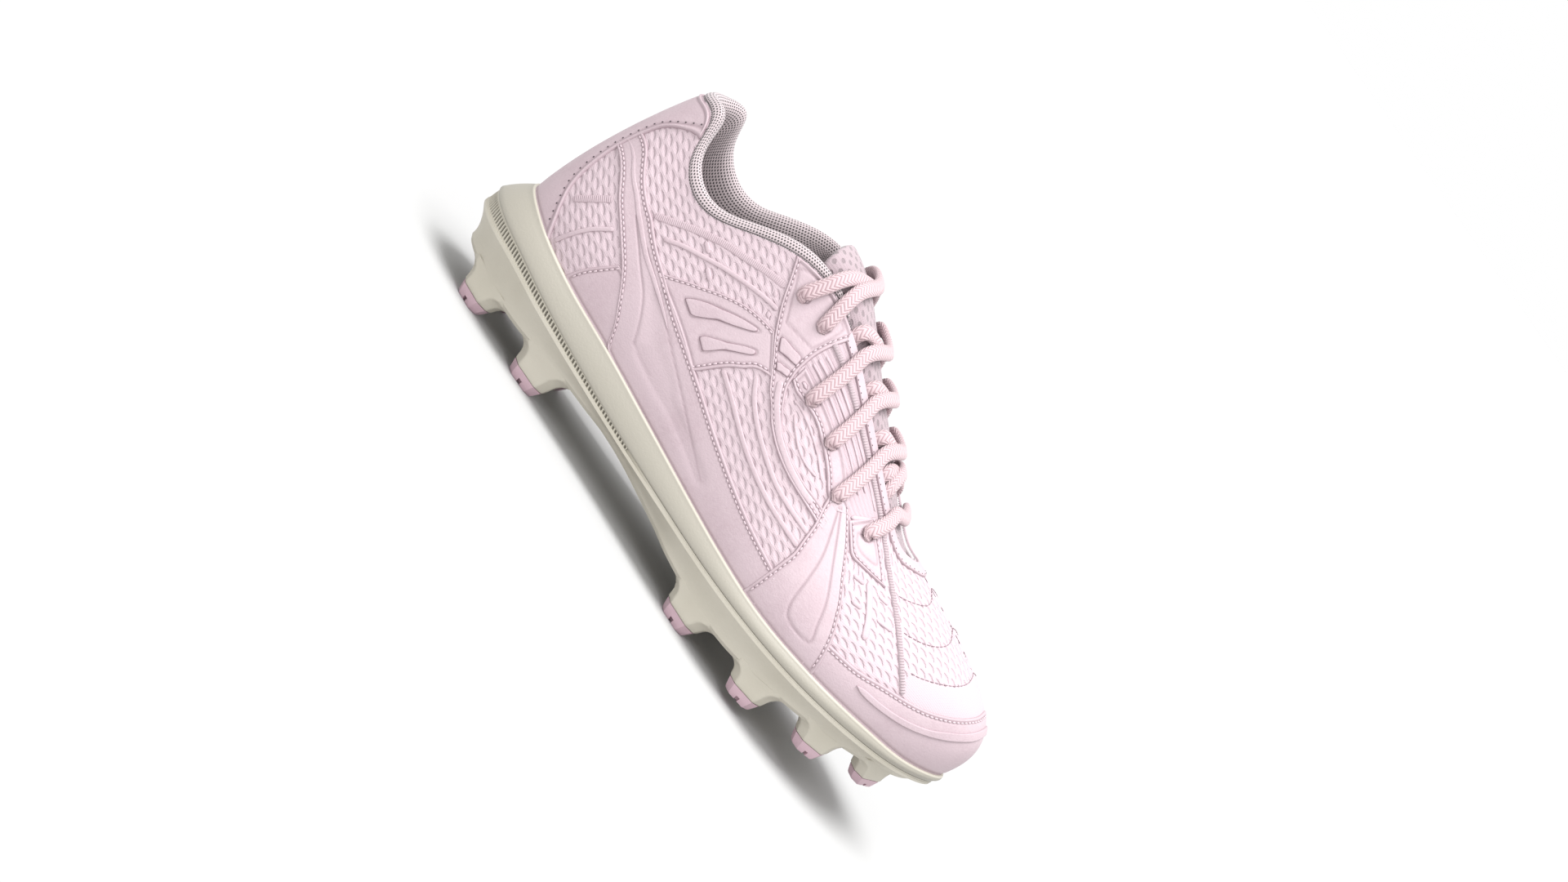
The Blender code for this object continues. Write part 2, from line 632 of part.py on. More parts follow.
def build_laces():
    """Each crossing is two strands joined where they meet. The lowest eyelets also carry a straight bar."""
    ends = [(s, eyelet_share(v)) for s, v, _ in LACE]
    crowns = [crown for _, _, crown in LACE]
    last = len(LACE) - 1
    under = THROAT_SHARE * UNDER_SHARE
    for row in range(1, last + 1):
        start, crown, lift = ends[row], crowns[row], LACE_LIFT
        end = ((crowns[row] + crowns[row - 1]) / 2 - UNDER_BACK, under)
        if row == 1:
            end = (ends[0][0], -ends[0][1])
        if row == last:
            start, crown, end = (LOW_CROSSING[0], -under), LOW_CROSSING[1], (LOW_CROSSING[2], under)
            lift = LOW_LIFT
        strands = []
        for side, name in ((1, f"lace_crossing_{row}"), (-1, f"lace_under_{row}")):
            bm = bmesh.new()
            loft(bm, strand_loops(start, crown, end, lift, side))
            strands.append(new_object(name, bm, PINK, CLOTH))
        strands[1].hide_render = True
        strands[1].display_type = "WIRE"
        join = strands[0].modifiers.new("crossing", "BOOLEAN")
        join.operation = "UNION"
        join.object = strands[1]
    start = ends[last]
    bm = bmesh.new()
    loft(bm, strand_loops(start, crowns[last], (start[0], -start[1]), LACE_LIFT, 1))
    new_object("lace_bar", bm, PINK, CLOTH)


for old in list(bpy.data.objects):
    bpy.data.objects.remove(old)
shoe = bpy.data.objects.new("shoe_frame", None)
bpy.context.scene.collection.objects.link(shoe)

build_outsole()
build_midsole()
build_insole()
build_upper()
build_collar()
build_tongue()
build_heel_counter()
build_toe_cap()
build_side_panels()
build_eyestay()
build_laces()

# The middle of the shoe's footprint goes to the origin.
depsgraph = bpy.context.evaluated_depsgraph_get()
pieces = [piece.evaluated_get(depsgraph) for piece in shoe.children if not piece.hide_render]
corners = np.array([corner for piece in pieces for corner in piece.bound_box])
middle = (corners.min(0) + corners.max(0)) / 2
shoe.location = (-middle[0], -middle[1], 0.0)
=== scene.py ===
import math

import bmesh
import bpy
import numpy as np
from mathutils import Matrix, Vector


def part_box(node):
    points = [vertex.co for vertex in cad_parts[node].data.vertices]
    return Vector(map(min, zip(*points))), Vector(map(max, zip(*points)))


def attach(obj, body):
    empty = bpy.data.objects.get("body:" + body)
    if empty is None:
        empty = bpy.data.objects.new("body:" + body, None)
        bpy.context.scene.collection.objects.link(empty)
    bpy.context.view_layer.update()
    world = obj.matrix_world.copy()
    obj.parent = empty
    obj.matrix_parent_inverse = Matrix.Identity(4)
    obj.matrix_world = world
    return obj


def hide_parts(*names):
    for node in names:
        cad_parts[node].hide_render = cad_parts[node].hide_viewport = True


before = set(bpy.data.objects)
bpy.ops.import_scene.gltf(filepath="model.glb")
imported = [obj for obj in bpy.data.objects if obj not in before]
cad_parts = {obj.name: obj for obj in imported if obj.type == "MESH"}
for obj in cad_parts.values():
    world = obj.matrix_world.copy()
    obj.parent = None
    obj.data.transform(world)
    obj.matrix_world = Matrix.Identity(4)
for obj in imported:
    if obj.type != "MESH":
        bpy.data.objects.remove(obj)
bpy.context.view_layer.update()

# Outsole: one injection moulding of hard ivory plastic with a matte skin: a ledge round the shoe under a
# ribbed strip, a hollowed flank and a thin plate. It is cemented to the midsole.
MM = 0.001
UP = np.array((0.0, 0.0, 1.0))
GAP = 0.3
STEP_S = 0.5
STEP_V = 0.01
MERGE = 1e-6
SHARP = math.radians(28)
SECTION_COLUMNS = (
    "x lateral medial inset flank flare rise edge_x edge_lat edge_med edge_z med_up slope drop".split()
)
SECTIONS = np.array((
    (0.0, 0.0, 0.0, 8.8, 13.0, 3, 22, 17.3, 0.0, 0.0, 117.2, 0.0, 75, 25),
    (5.5, 17.5, 17.0, 7.5, 9.0, 6, 22, 20.5, 10.5, 10.5, 117.2, 1.5, 78, 25),
    (18.0, 27.5, 27.0, 6.2, 6.8, 8, 22, 29.0, 17.2, 17.2, 115.0, 4.0, 82, 24),
    (30.0, 31.8, 31.0, 5.5, 6.0, 9, 21, 35.5, 20.5, 20.5, 103.0, 5.5, 84, 22),
    (46.0, 34.2, 33.0, 5.0, 5.5, 10, 20, 49.0, 24.4, 24.4, 95.2, 5.5, 86, 20),
    (75.0, 34.5, 31.5, 4.5, 7.0, 12, 20, 70.0, 25.5, 25.0, 103.0, 5.0, 80, 24),
    (110.0, 36.0, 31.0, 4.2, 9.0, 12, 22, 93.0, 24.0, 23.5, 116.0, 4.0, 68, 28),
    (142.0, 41.5, 36.5, 4.0, 8.0, 12, 22, 119.0, 20.0, 20.0, 116.5, 2.0, 52, 32),
    (172.0, 47.5, 43.5, 3.6, 5.5, 13, 22, 147.0, 16.5, 17.5, 105.5, 0.0, 42, 30),
    (200.0, 49.5, 47.5, 3.3, 5.0, 14, 21, 172.0, 14.0, 16.0, 94.0, 0.0, 36, 28),
    (227.0, 45.5, 47.0, 3.0, 5.0, 13, 21, 191.0, 10.5, 13.5, 85.0, 0.0, 28, 28),
    (250.0, 35.5, 41.5, 2.5, 5.0, 12, 22, 200.5, 7.0, 10.5, 81.8, 0.0, 18, 37),
    (268.0, 20.5, 30.5, 1.8, 5.0, 12, 26, 205.5, 3.0, 6.5, 82.0, 0.0, 8, 52),
    (280.0, -6.0, 6.0, 1.0, 6.0, 14, 28, 207.0, -1.8, 1.8, 82.3, 0.0, 5, 60),
))
HEIGHT_COLUMNS = "x top band plate strip".split()
HEIGHTS = np.array((
    (0.0, 46.2, 32.2, 15.5, 5.6),
    (10.0, 44.6, 31.2, 13.6, 4.9),
    (30.0, 40.9, 29.6, 11.6, 3.4),
    (50.0, 38.3, 27.2, 11.6, 2.6),
    (78.0, 36.4, 24.4, 15.0, 1.6),
    (108.0, 33.9, 22.7, 15.6, 0.9),
    (142.0, 31.8, 22.7, 13.0, 0.4),
    (165.0, 31.0, 23.4, 11.4, 0.4),
    (190.0, 31.0, 25.0, 11.6, 0.4),
    (222.0, 33.9, 28.3, 17.6, 0.4),
    (250.0, 37.6, 32.6, 24.5, 0.4),
    (267.0, 39.9, 35.8, 29.6, 0.4),
    (281.0, 43.8, 39.6, 34.4, 0.4),
))


def section(name):
    return SECTIONS[:, SECTION_COLUMNS.index(name)]


def unit(vectors):
    return vectors / np.linalg.norm(vectors, axis=-1, keepdims=True)


def closed_spline(knots, period, rows, at):
    """A smooth closed curve through rows, one row per knot, read at the places in at."""
    rows = rows.reshape(len(rows), -1)
    step = np.diff(np.append(knots, period))
    before = np.roll(step, 1)
    slope = (np.roll(rows, -1, 0) - rows) / step[:, None]
    count = len(rows)
    matrix = np.diag(2.0 * (before + step))
    for i in range(count):
        matrix[i, i - 1] += before[i]
        matrix[i, (i + 1) % count] += step[i]
    bend = np.linalg.solve(matrix, 6.0 * (slope - np.roll(slope, 1, 0)))
    at = np.mod(at, period)
    low = np.searchsorted(knots, at, side="right") - 1
    high = (low + 1) % count
    span = step[low][..., None]
    b = (at - knots[low])[..., None] / span
    a = 1.0 - b
    curve = ((a**3 - a) * bend[low] + (b**3 - b) * bend[high]) * span**2 / 6.0
    return a * rows[low] + b * rows[high] + curve


def smooth(at, xs, ys):
    """A smooth curve through a table's points."""
    slope = np.gradient(ys, xs)
    low = np.clip(np.searchsorted(xs, at) - 1, 0, len(xs) - 2)
    span = xs[low + 1] - xs[low]
    t = np.clip((at - xs[low]) / span, 0.0, 1.0)
    ends = (1 + 2 * t) * (1 - t) ** 2 * ys[low] + t * t * (3 - 2 * t) * ys[low + 1]
    return ends + span * (t * (1 - t) ** 2 * slope[low] - t * t * (1 - t) * slope[low + 1])


def height(name, x):
    return smooth(x, HEIGHTS[:, 0], HEIGHTS[:, HEIGHT_COLUMNS.index(name)])


# A place on the shoe is s, the way along the sole's edge from the heel's middle, lateral side positive, and
# v, the share of the way up the wall to the edge of the opening.
LATERAL_EDGE = np.stack((section("x"), -section("lateral")), 1)
MEDIAL_EDGE = np.stack((section("x"), section("medial")), 1)
CHORDS = np.linalg.norm(np.diff((LATERAL_EDGE, MEDIAL_EDGE), axis=1), axis=2)
HALF_KNOTS = np.append(0.0, np.cumsum(CHORDS.mean(0)))
TOE = HALF_KNOTS[-1]
PERIOD = 2 * TOE
KNOTS = np.append(HALF_KNOTS, PERIOD - HALF_KNOTS[-2:0:-1])
RING_STEPS = 400
RING = np.arange(RING_STEPS) * PERIOD / RING_STEPS


def round_shoe(lateral, medial, s):
    """A smooth closed curve through rows of both sides, read at s: lateral to the toe, then medial back."""
    return closed_spline(KNOTS, PERIOD, np.concatenate((lateral, medial[-2:0:-1])), s)


def around(name, s):
    """A section column read at s, the same on both sides."""
    return round_shoe(section(name), section(name), s)[..., 0]


def sole_edge(s, inset):
    """The sole's outline in plan moved inwards by inset, and the outward direction there."""
    before, point, after = (round_shoe(LATERAL_EDGE, MEDIAL_EDGE, s + d) for d in (-STEP_S, 0.0, STEP_S))
    out = unit(np.stack((after[..., 1] - before[..., 1], before[..., 0] - after[..., 0]), -1))
    return point - out * np.asarray(inset)[..., None], out


def flat(vectors, z):
    """Plan vectors made three-dimensional with height z."""
    return np.concatenate((vectors, np.broadcast_to(z, vectors.shape[:-1])[..., None]), -1)


def sole_ring(inset, name, offset):
    """A level of the sole: its outline moved in by inset, at a height from the table moved up by offset."""
    plan, _ = sole_edge(RING, inset)
    return flat(plan, height(name, plan[:, 0]) + offset)


def closed(rings):
    """The rings, and at each end one more, drawn together to the line halfway between its two sides."""
    first, last = ((ring + np.roll(ring[::-1], 1, 0)) / 2 for ring in (rings[0], rings[-1]))
    return [first, *rings, last]


# The row's frame has the middle of the footprint at its origin, as the band's lower edge shows it.
CAD_STEPS = 68
BAND_BOX = np.array(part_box("midsole"))[:, :2].mean(0)
outline, _ = sole_edge(np.arange(CAD_STEPS) * PERIOD / CAD_STEPS, 0.0)
SHIFT = np.append(BAND_BOX - (outline.min(0) + outline.max(0)) / 2 * MM, 0.0)


def meshed(name, bm):
    """A new mesh from a bmesh, which is freed."""
    mesh = bpy.data.meshes.new(name)
    bm.to_mesh(mesh)
    bm.free()
    return mesh


def move(mesh, points):
    """Puts a mesh's vertices at points given in millimetres."""
    mesh.vertices.foreach_set("co", (points * MM + SHIFT).astype(np.float32).ravel())


def bent(place, columns, rows):
    """A grid of cells bent to place(column, row), which gives points, a chart in millimetres and a shade."""
    bm = bmesh.new()
    bmesh.ops.create_grid(bm, x_segments=columns, y_segments=rows, size=0.5)
    grid = np.array([vert.co[:2] for vert in bm.verts]) + 0.5
    column, row = np.rint(grid * (columns, rows)).astype(int).T
    points, chart, *shade = place(column, row)
    mesh = meshed("bent", bm)
    move(mesh, points)
    corners = np.empty(len(mesh.loops), np.int32)
    mesh.loops.foreach_get("vertex_index", corners)
    mesh.uv_layers.new(name="UVMap").data.foreach_set("uv", chart[corners].astype(np.float32).ravel())
    for values in shade:
        mesh.attributes.new("shade", "FLOAT", "POINT").data.foreach_set("value", values.astype(np.float32))
    return mesh


def weld(mesh):
    """Joins the vertices that meet and turns all the faces outwards."""
    bm = bmesh.new()
    bm.from_mesh(mesh)
    bmesh.ops.remove_doubles(bm, verts=bm.verts, dist=MERGE)
    bmesh.ops.recalc_face_normals(bm, faces=bm.faces)
    bm.to_mesh(mesh)
    bm.free()
    return mesh


def linked(name, data):
    """A new object in the scene."""
    obj = bpy.data.objects.new(name, data)
    bpy.context.scene.collection.objects.link(obj)
    return obj


def new_piece(name, meshes, material, slot, *nodes):
    """One object from the meshes, shaded smooth, riding on the shoe in place of the CAD nodes."""
    bm = bmesh.new()
    for mesh in meshes:
        bm.from_mesh(mesh)
        bpy.data.meshes.remove(mesh)
    joined = meshed(name, bm)
    joined.shade_smooth()
    joined.materials.append(material)
    obj = linked(name, joined)
    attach(obj, "root")
    if nodes:
        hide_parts(*nodes)
    return obj


def soften(obj, width, segments):
    """Rounds the sharp edges of a moulded piece."""
    bevel = obj.modifiers.new("soft edges", "BEVEL")
    bevel.width = width * MM
    bevel.segments = segments
    bevel.limit_method = "ANGLE"
    bevel.angle_limit = SHARP
    bevel.harden_normals = True


class Wire:
    """A shader socket. Its operators add Math nodes, and node adds any other kind."""

    def __init__(self, tree, socket):
        self.tree, self.socket = tree, socket

    def node(self, kind, sockets, output=0, **settings):
        node = self.tree.nodes.new("ShaderNode" + kind)
        for key, value in settings.items():
            setattr(node, key, value)
        for key, value in sockets.items():
            if isinstance(value, Wire):
                self.tree.links.new(value.socket, node.inputs[key])
            else:
                node.inputs[key].default_value = value
        return Wire(self.tree, node.outputs[output])

    def math(self, operation, *values):
        return self.node("Math", dict(enumerate(values)), operation=operation)

    def __add__(self, other):
        return self.math("ADD", self, other)

    def __sub__(self, other):
        return self.math("SUBTRACT", self, other)

    def __rsub__(self, other):
        return self.math("SUBTRACT", other, self)

    def __mul__(self, other):
        return self.math("MULTIPLY", self, other)

    def __truediv__(self, other):
        return self.math("DIVIDE", self, other)

    def floor(self):
        return self.math("FLOOR", self)

    def fract(self):
        return self.math("FRACT", self)

    def wave(self):
        """0 to 1 and back once in each unit."""
        return self.math("COSINE", self * (2 * math.pi)) * -0.5 + 0.5

    def ramp(self, low, high):
        return self.node("MapRange", {0: self, 1: low, 2: high}, interpolation_type="SMOOTHSTEP")

    def blend(self, low, high):
        """A colour from low to high as this value goes from 0 to 1."""
        return self.node("Mix", {0: self, 6: low, 7: high}, 2, data_type="RGBA")


def rgb(colour):
    return (*colour, 1.0)


class Finish:
    """A material under construction: its shader, and the wires that its patterns start from."""

    def __init__(self, name, **constants):
        self.material = bpy.data.materials.new(name)
        self.material.use_nodes = True
        self.tree = self.material.node_tree
        self.shader = self.tree.nodes["Principled BSDF"]
        for key, value in constants.items():
            self.shader.inputs[key.replace("_", " ")].default_value = value
        start = Wire(self.tree, None)
        self.place = start.node("TexCoord", {}, "Object")
        chart = start.node("UVMap", {}, uv_map="UVMap")
        split = chart.node("SeparateXYZ", {0: chart})
        self.along, self.across = split, Wire(self.tree, split.socket.node.outputs[1])

    def noise(self, size, detail=2.0):
        """Even noise about 0.5, with blots of the given size in millimetres."""
        return self.place.node("TexNoise", {"Vector": self.place, "Scale": 1 / (size * MM), "Detail": detail})

    def attribute(self, name):
        return self.place.node("Attribute", {}, "Fac", attribute_name=name)

    def feed(self, socket, wire):
        self.tree.links.new(wire.socket, self.shader.inputs[socket])

    def bump(self, wire, depth):
        """Relief of the given depth in millimetres."""
        self.feed("Normal", wire.node("Bump", {"Height": wire, "Distance": depth * MM}))


IVORY = (0.50, 0.470, 0.402)
IVORY_WORN = (0.465, 0.435, 0.365)
GRAIN = 0.9
GRAIN_DEEP = 0.09
ivory = Finish("ivory moulding")
ivory.feed("Base Color", ivory.noise(26.0).ramp(0.35, 0.75).blend(rgb(IVORY), rgb(IVORY_WORN)))
ivory.feed("Roughness", ivory.noise(7.0) * 0.2 + 0.4)
ivory.bump(ivory.noise(GRAIN, 3.0), GRAIN_DEEP)

# Insets go inwards from the sole's edge. A stud's row holds its name, x, half length, lift off the floor and
# lean in degrees.
SEAT = 0.02
LEDGE_INSET = 0.3
LEDGE_HEIGHT = 1.2
STRIP_INSET = 1.4
STRIP_SHALLOW = 0.45
STRIP_FADE = (0.45, 0.9)
FILLET_SHARE = 0.45
FILLET_IN = 0.75
FILLET_STEPS = np.linspace(0.0, 1.0, 8)
PLATE_CHAMFER = 1.4
CHANNEL_INSET = 13.0
CHANNEL_RISE = 0.9
STUDS = (
    ("heel_back", 28.2, 6.2, 0.0, 0),
    ("heel_front", 68.0, 6.8, 0.0, 0),
    ("ball", 174.0, 6.7, 0.0, 0),
    ("forefoot", 214.0, 6.2, 4.0, 6),
    ("toe_side", 247.0, 5.9, 11.6, 9),
    ("toe", 271.5, 5.0, 19.4, 20),
)
STUD_INSET = 10.5
OUTER_REACH = 5.3
STUD_SWELL = (34.0, 20.0)


def fade(value, low, high):
    """A smooth step from 0 at low to 1 at high."""
    share = np.clip((value - low) / (high - low), 0.0, 1.0)
    return share * share * (3 - 2 * share)


def ringed(rings, shades=None):
    """A closed body through rings of the same number of points, each ring with its own shade."""
    rings = np.array(rings)
    levels, count, _ = rings.shape
    shades = np.zeros(levels) if shades is None else np.array(shades)

    def place(column, row):
        points = rings[row, column % count]
        return points, points[:, :2], shades[row]

    return weld(bent(place, count, levels - 1))


edge_x = sole_edge(RING, 0.0)[0][:, 0]
strip = height("strip", edge_x)
recess = STRIP_SHALLOW + (STRIP_INSET - STRIP_SHALLOW) * fade(strip, *STRIP_FADE)
flank = around("flank", RING)
for _, stud_x, *_ in STUDS:
    near_stud = fade(np.abs(edge_x - stud_x), *STUD_SWELL)
    flank += near_stud * np.minimum(STUD_INSET - OUTER_REACH - flank, 0.0)
under = sole_ring(LEDGE_INSET, "band", -strip - LEDGE_HEIGHT - GAP)
foot = sole_ring(flank, "plate", PLATE_CHAMFER)
fillet = FILLET_SHARE * under + (1 - FILLET_SHARE) * foot
fillet[:, :2] = FILLET_IN * foot[:, :2] + (1 - FILLET_IN) * under[:, :2]
pull = 2 * fillet - (under + foot) / 2
rings = [
    sole_ring(recess, "band", -SEAT),
    sole_ring(recess, "band", -strip - GAP),
    sole_ring(LEDGE_INSET, "band", -strip - GAP),
]
rings += [(1 - t) ** 2 * under + 2 * t * (1 - t) * pull + t * t * foot for t in FILLET_STEPS]
rings += [
    sole_ring(flank + PLATE_CHAMFER, "plate", 0.0),
    sole_ring(flank + CHANNEL_INSET, "plate", CHANNEL_RISE),
]
outsole = new_piece("outsole_plate", [ringed(closed(rings))], ivory.material, "outsole", "outsole")
soften(outsole, width=0.45, segments=2)

# Ribbed strip: leaning slots in the wall under the band, tallest at the heel's back and dying out in the
# arch. They are part of the outsole's moulding, and their floors are painted dark as shade.
RIB_PITCH = 1.7
RIB_LEAN = 0.39
RIB_DEPTH = 0.75
RIB_END = 130.0
RIB_STEPS = 1200
RIB_ROWS = 12
RIB_WAVE = (-0.25, 0.3)
RIB_MARGIN = (0.14, 0.21)
RIB_PROUD = 0.1


def ribbed_strip(column, row):
    s = (2.0 * column / RIB_STEPS - 1) * RIB_END
    share = row / RIB_ROWS
    x = sole_edge(s, 0.0)[0][:, 0]
    tall = height("strip", x) + 2 * GAP
    wave = np.cos(2 * np.pi * (np.abs(s) + RIB_LEAN * tall * share) / RIB_PITCH)
    slot = fade(wave, *RIB_WAVE) * fade(np.minimum(share, 1 - share), *RIB_MARGIN)
    plan, _ = sole_edge(s, STRIP_INSET - RIB_PROUD - RIB_DEPTH * (1 - slot))
    z = height("band", x) + GAP / 2 - tall * (1 - share)
    return flat(plan, z), np.stack((s, z), 1), 1 - slot


SLOT_SHADE = (0.17, 0.155, 0.125)
ribs = Finish("ivory ribs", Roughness=0.55)
ribs.feed("Base Color", ribs.attribute("shade").blend(rgb(SLOT_SHADE), rgb(IVORY_WORN)))
ribs.bump(ribs.noise(0.8), 0.06)
new_piece("ribbed_strip", [bent(ribbed_strip, RIB_STEPS, RIB_ROWS)], ribs.material, "outsole")

# Studs: their bodies are moulded with the plate. Each wears a tip of harder pink plastic, a second shot
# with a small notch in the foot of its outer face.
TIP_HEIGHT = 4.4
TIP_CLEAR = 0.02
TIP_LEVELS = (
    (0.0, -0.6, 3.6, 0.5), (0.6, 0.0, 4.1, 0.5), (1.7, 0.5, 4.35, 0.5), (1.8, 0.55, 4.4, 0.0),
    (TIP_HEIGHT - TIP_CLEAR, 1.6, 4.9, 0.0),
)
BODY_FOOT = (TIP_HEIGHT, 1.7, 5.0, 0.0)
BODY_LEVELS = (
    (0.45, 2.2, 5.3, 0.0), (0.6, 2.7, 5.7, 0.0), (0.73, 3.4, 6.2, 0.0), (0.84, 4.5, 6.9, 0.0),
    (0.93, 6.2, 7.7, 0.0), (1.0, 8.6, 8.6, 0.0), (1.2, 10.2, 9.2, 0.0),
)
STUD_CORNERS = np.array((
    (-0.62, -1.0), (-0.13, -1.0), (-0.12, -1.0), (0.12, -1.0), (0.13, -1.0), (0.62, -1.0), (1.0, -0.25),
    (1.0, 0.55), (0.6, 1.0), (-0.6, 1.0), (-1.0, 0.55), (-1.0, -0.25),
))
NOTCH_CORNERS = (2, 3)
SIDES = ((1, "lateral"), (-1, "medial"))
FINE = np.linspace(0.0, TOE, 400)


def stud(row, side, levels):
    """A stud through levels: height, growth of its half length, half depth and depth of its notch."""
    _, x, half, lift, lean = row
    s = np.interp(x, sole_edge(FINE, 0.0)[0][:, 0], FINE)
    plan, out = sole_edge(side * s, STUD_INSET)
    out = flat(out, 0.0)
    forward = side * np.cross(UP, out)
    tilt = math.radians(lean)
    ahead = forward * math.cos(tilt) + UP * math.sin(tilt)
    up = UP * math.cos(tilt) - forward * math.sin(tilt)
    middle = flat(plan, lift)
    reach = height("plate", middle[0]) - lift
    loops = []
    for rise, growth, depth, notch in levels:
        corners = STUD_CORNERS.copy()
        corners[NOTCH_CORNERS, 1] += notch
        along = np.outer(corners[:, 0] * (half + growth), ahead)
        inward = corners[:, 1] * np.where(corners[:, 1] < 0, min(depth, OUTER_REACH), depth)
        loop = middle + up * rise + along + np.outer(inward, -out)
        slope = height("plate", loop[:, 0]) - lift - reach - math.tan(tilt) * (loop[:, 0] - middle[0])
        loop[:, 2] += fade(rise, TIP_HEIGHT, reach) * slope
        loops.append(loop)
    foot, top = (np.broadcast_to(loop.mean(0), loop.shape) for loop in (loops[0], loops[-1]))
    return ringed([foot, *loops, top])


TIP_PINK = (0.52, 0.365, 0.415)
tip_pink = Finish("stud tip", Roughness=0.42, Base_Color=rgb(TIP_PINK))
tip_pink.bump(tip_pink.noise(0.6), 0.02)
bodies = []
for row in STUDS:
    stud_name, x, _, lift, _ = row
    reach = height("plate", x) - lift
    levels = [BODY_FOOT] + [(share * reach, *rest) for share, *rest in BODY_LEVELS]
    for side, side_name in SIDES:
        bodies.append(stud(row, side, levels))
        node = f"stud_tip_{stud_name}_{side_name}"
        tip = new_piece(f"{node}_end", [stud(row, side, TIP_LEVELS)], tip_pink.material, "stud_tip", node)
        soften(tip, width=0.3, segments=2)
soften(new_piece("stud_bodies", bodies, ivory.material, "outsole"), width=0.7, segments=3)

# Midsole: a wedge of moulded foam with a skin, seen as a smooth band round the shoe with a rounded top
# edge. The upper's lasted margin is cemented down inside that edge.
BAND_LIP = 1.8
BAND_ROUND = 0.9
BAND_SWELL = 0.5
BAND_TURN = np.radians((0, 22, 45, 67, 90))
BAND_SIDE = np.linspace(0.0, 1.0, 7)

wall = around("inset", RING) - BAND_LIP
side_top = sole_ring(wall, "top", -BAND_ROUND)
side_foot = sole_ring(0.0, "band", BAND_ROUND)
swell = flat(sole_edge(RING, 0.0)[1], 0.0) * BAND_SWELL
turned = [(BAND_ROUND * (1 - math.sin(turn)), BAND_ROUND * (1 - math.cos(turn))) for turn in BAND_TURN]
rings = [sole_ring(inset, "band", rise) for inset, rise in turned]
rings += [(1 - t) * side_foot + t * side_top + swell * 4 * t * (1 - t) for t in BAND_SIDE[1:-1]]
rings += [sole_ring(wall + inset, "top", -drop) for drop, inset in turned]
rings = closed(rings)
shades = np.arange(len(rings)) > len(rings) - len(BAND_TURN) - 1
# Painted shade: the band's face is painted darker than its rounded top edge, which stays the plain ivory.
IVORY_BAND_SHADED = (0.345, 0.324, 0.277)
band = Finish("ivory band", Roughness=0.5)
band.feed("Base Color", band.attribute("shade").blend(rgb(IVORY_BAND_SHADED), rgb(IVORY)))
band.bump(band.noise(GRAIN, 3.0), GRAIN_DEEP)
new_piece("midsole_band", [ringed(rings, shades)], band.material, "midsole", "midsole")

# Insole: a loose sock liner of foam under grey spacer knit, cut to the foot's outline. It lies on the midsole
# inside the upper and can be taken out.
INSOLE_THICK = 3.5
INSOLE_CLEAR = 1.2
INSOLE_SEAT = 0.4
INSOLE_ROUND = 1.0
WALL = 2.2
GREY = (0.66, 0.60, 0.615)
GREY_PIT_SHADE = (0.13, 0.115, 0.12)
KNIT = 1.25


def knit(finish, pitch):
    """Staggered loops of a spacer knit: 1 on the yarn and 0 in the pits."""
    across = finish.across / pitch
    along = finish.along / pitch + (across + 0.5).floor() * 0.5
    return 1 - ((1 - along.wave()) * (1 - across.wave())).ramp(0.15, 0.65)


lining = Finish("grey lining", Roughness=0.9, Sheen_Weight=0.3)
loops = knit(lining, KNIT)
# Painted shade: the knit's pits are painted dark.
lining.feed("Base Color", loops.blend(rgb(GREY_PIT_SHADE), rgb(GREY)))
lining.bump(loops + lining.noise(0.4) * 0.5, 0.25)

inset = around("inset", RING) + WALL + INSOLE_CLEAR
rings = [
    sole_ring(inset, "top", INSOLE_SEAT),
    sole_ring(inset, "top", INSOLE_SEAT + INSOLE_THICK - INSOLE_ROUND),
    sole_ring(inset + INSOLE_ROUND, "top", INSOLE_SEAT + INSOLE_THICK),
]
new_piece("sock_liner", [ringed(closed(rings))], lining.material, "lining", "insole")

# Upper: a hollow shell of engineered mesh, knitted with staggered leaf-shaped dents. It is drawn over the
# last, and its margin is cemented under the midsole's edge.
FOOT_SEAT = 0.3


def opening_edge(s):
    lateral = np.stack((section("edge_x"), -section("edge_lat"), section("edge_z")), 1)
    medial = np.stack((section("edge_x"), section("edge_med"), section("edge_z") + section("med_up")), 1)
    return round_shoe(lateral, medial, s)


def cubic(a, b, c, d, t):
    """The curve that leaves a towards b and comes to d from c, at shares t of its way."""
    return (1 - t) ** 3 * a + 3 * t * (1 - t) ** 2 * b + 3 * t * t * (1 - t) * c + t**3 * d


def upper_point(s, v):
    """The outside of the upper: each section is a curve from the sole's edge to the edge of the opening."""
    s, v = np.broadcast_arrays(np.asarray(s, float), np.asarray(v, float))
    plan, out = sole_edge(s, around("inset", s))
    base = flat(plan, height("top", plan[..., 0]) + FOOT_SEAT)
    flare = np.radians(around("flare", s))[..., None]
    above = base + around("rise", s)[..., None] * (flat(out, 0.0) * np.sin(flare) + UP * np.cos(flare))
    edge = opening_edge(s)
    away = flat(unit((base - edge)[..., :2]), 0.0)
    slope = np.radians(around("slope", s))[..., None]
    below = edge + around("drop", s)[..., None] * (away * np.cos(slope) - UP * np.sin(slope))
    return cubic(base, above, below, edge, v[..., None])


def outward(surface, s, v):
    """The outward direction of a surface, which gives a point for s and v."""
    along = surface(s + STEP_S, v) - surface(s - STEP_S, v)
    rising = surface(s, v + STEP_V) - surface(s, v - STEP_V)
    return unit(np.cross(along, rising))


def upper_out(s, v):
    return outward(upper_point, s, v)


def upper_skin(s, v, lift):
    """The upper's surface moved outwards by lift."""
    return upper_point(s, v) + upper_out(s, v) * np.asarray(lift)[..., None]


def inside(s, v, polygon):
    """Whether each place is inside a polygon of places."""
    found = np.zeros(s.shape, bool)
    for (s0, v0), (s1, v1) in zip(polygon, np.roll(polygon, -1, 0)):
        if v0 != v1:
            found ^= ((v0 > v) != (v1 > v)) & (s < s0 + (v - v0) * (s1 - s0) / (v1 - v0))
    return found


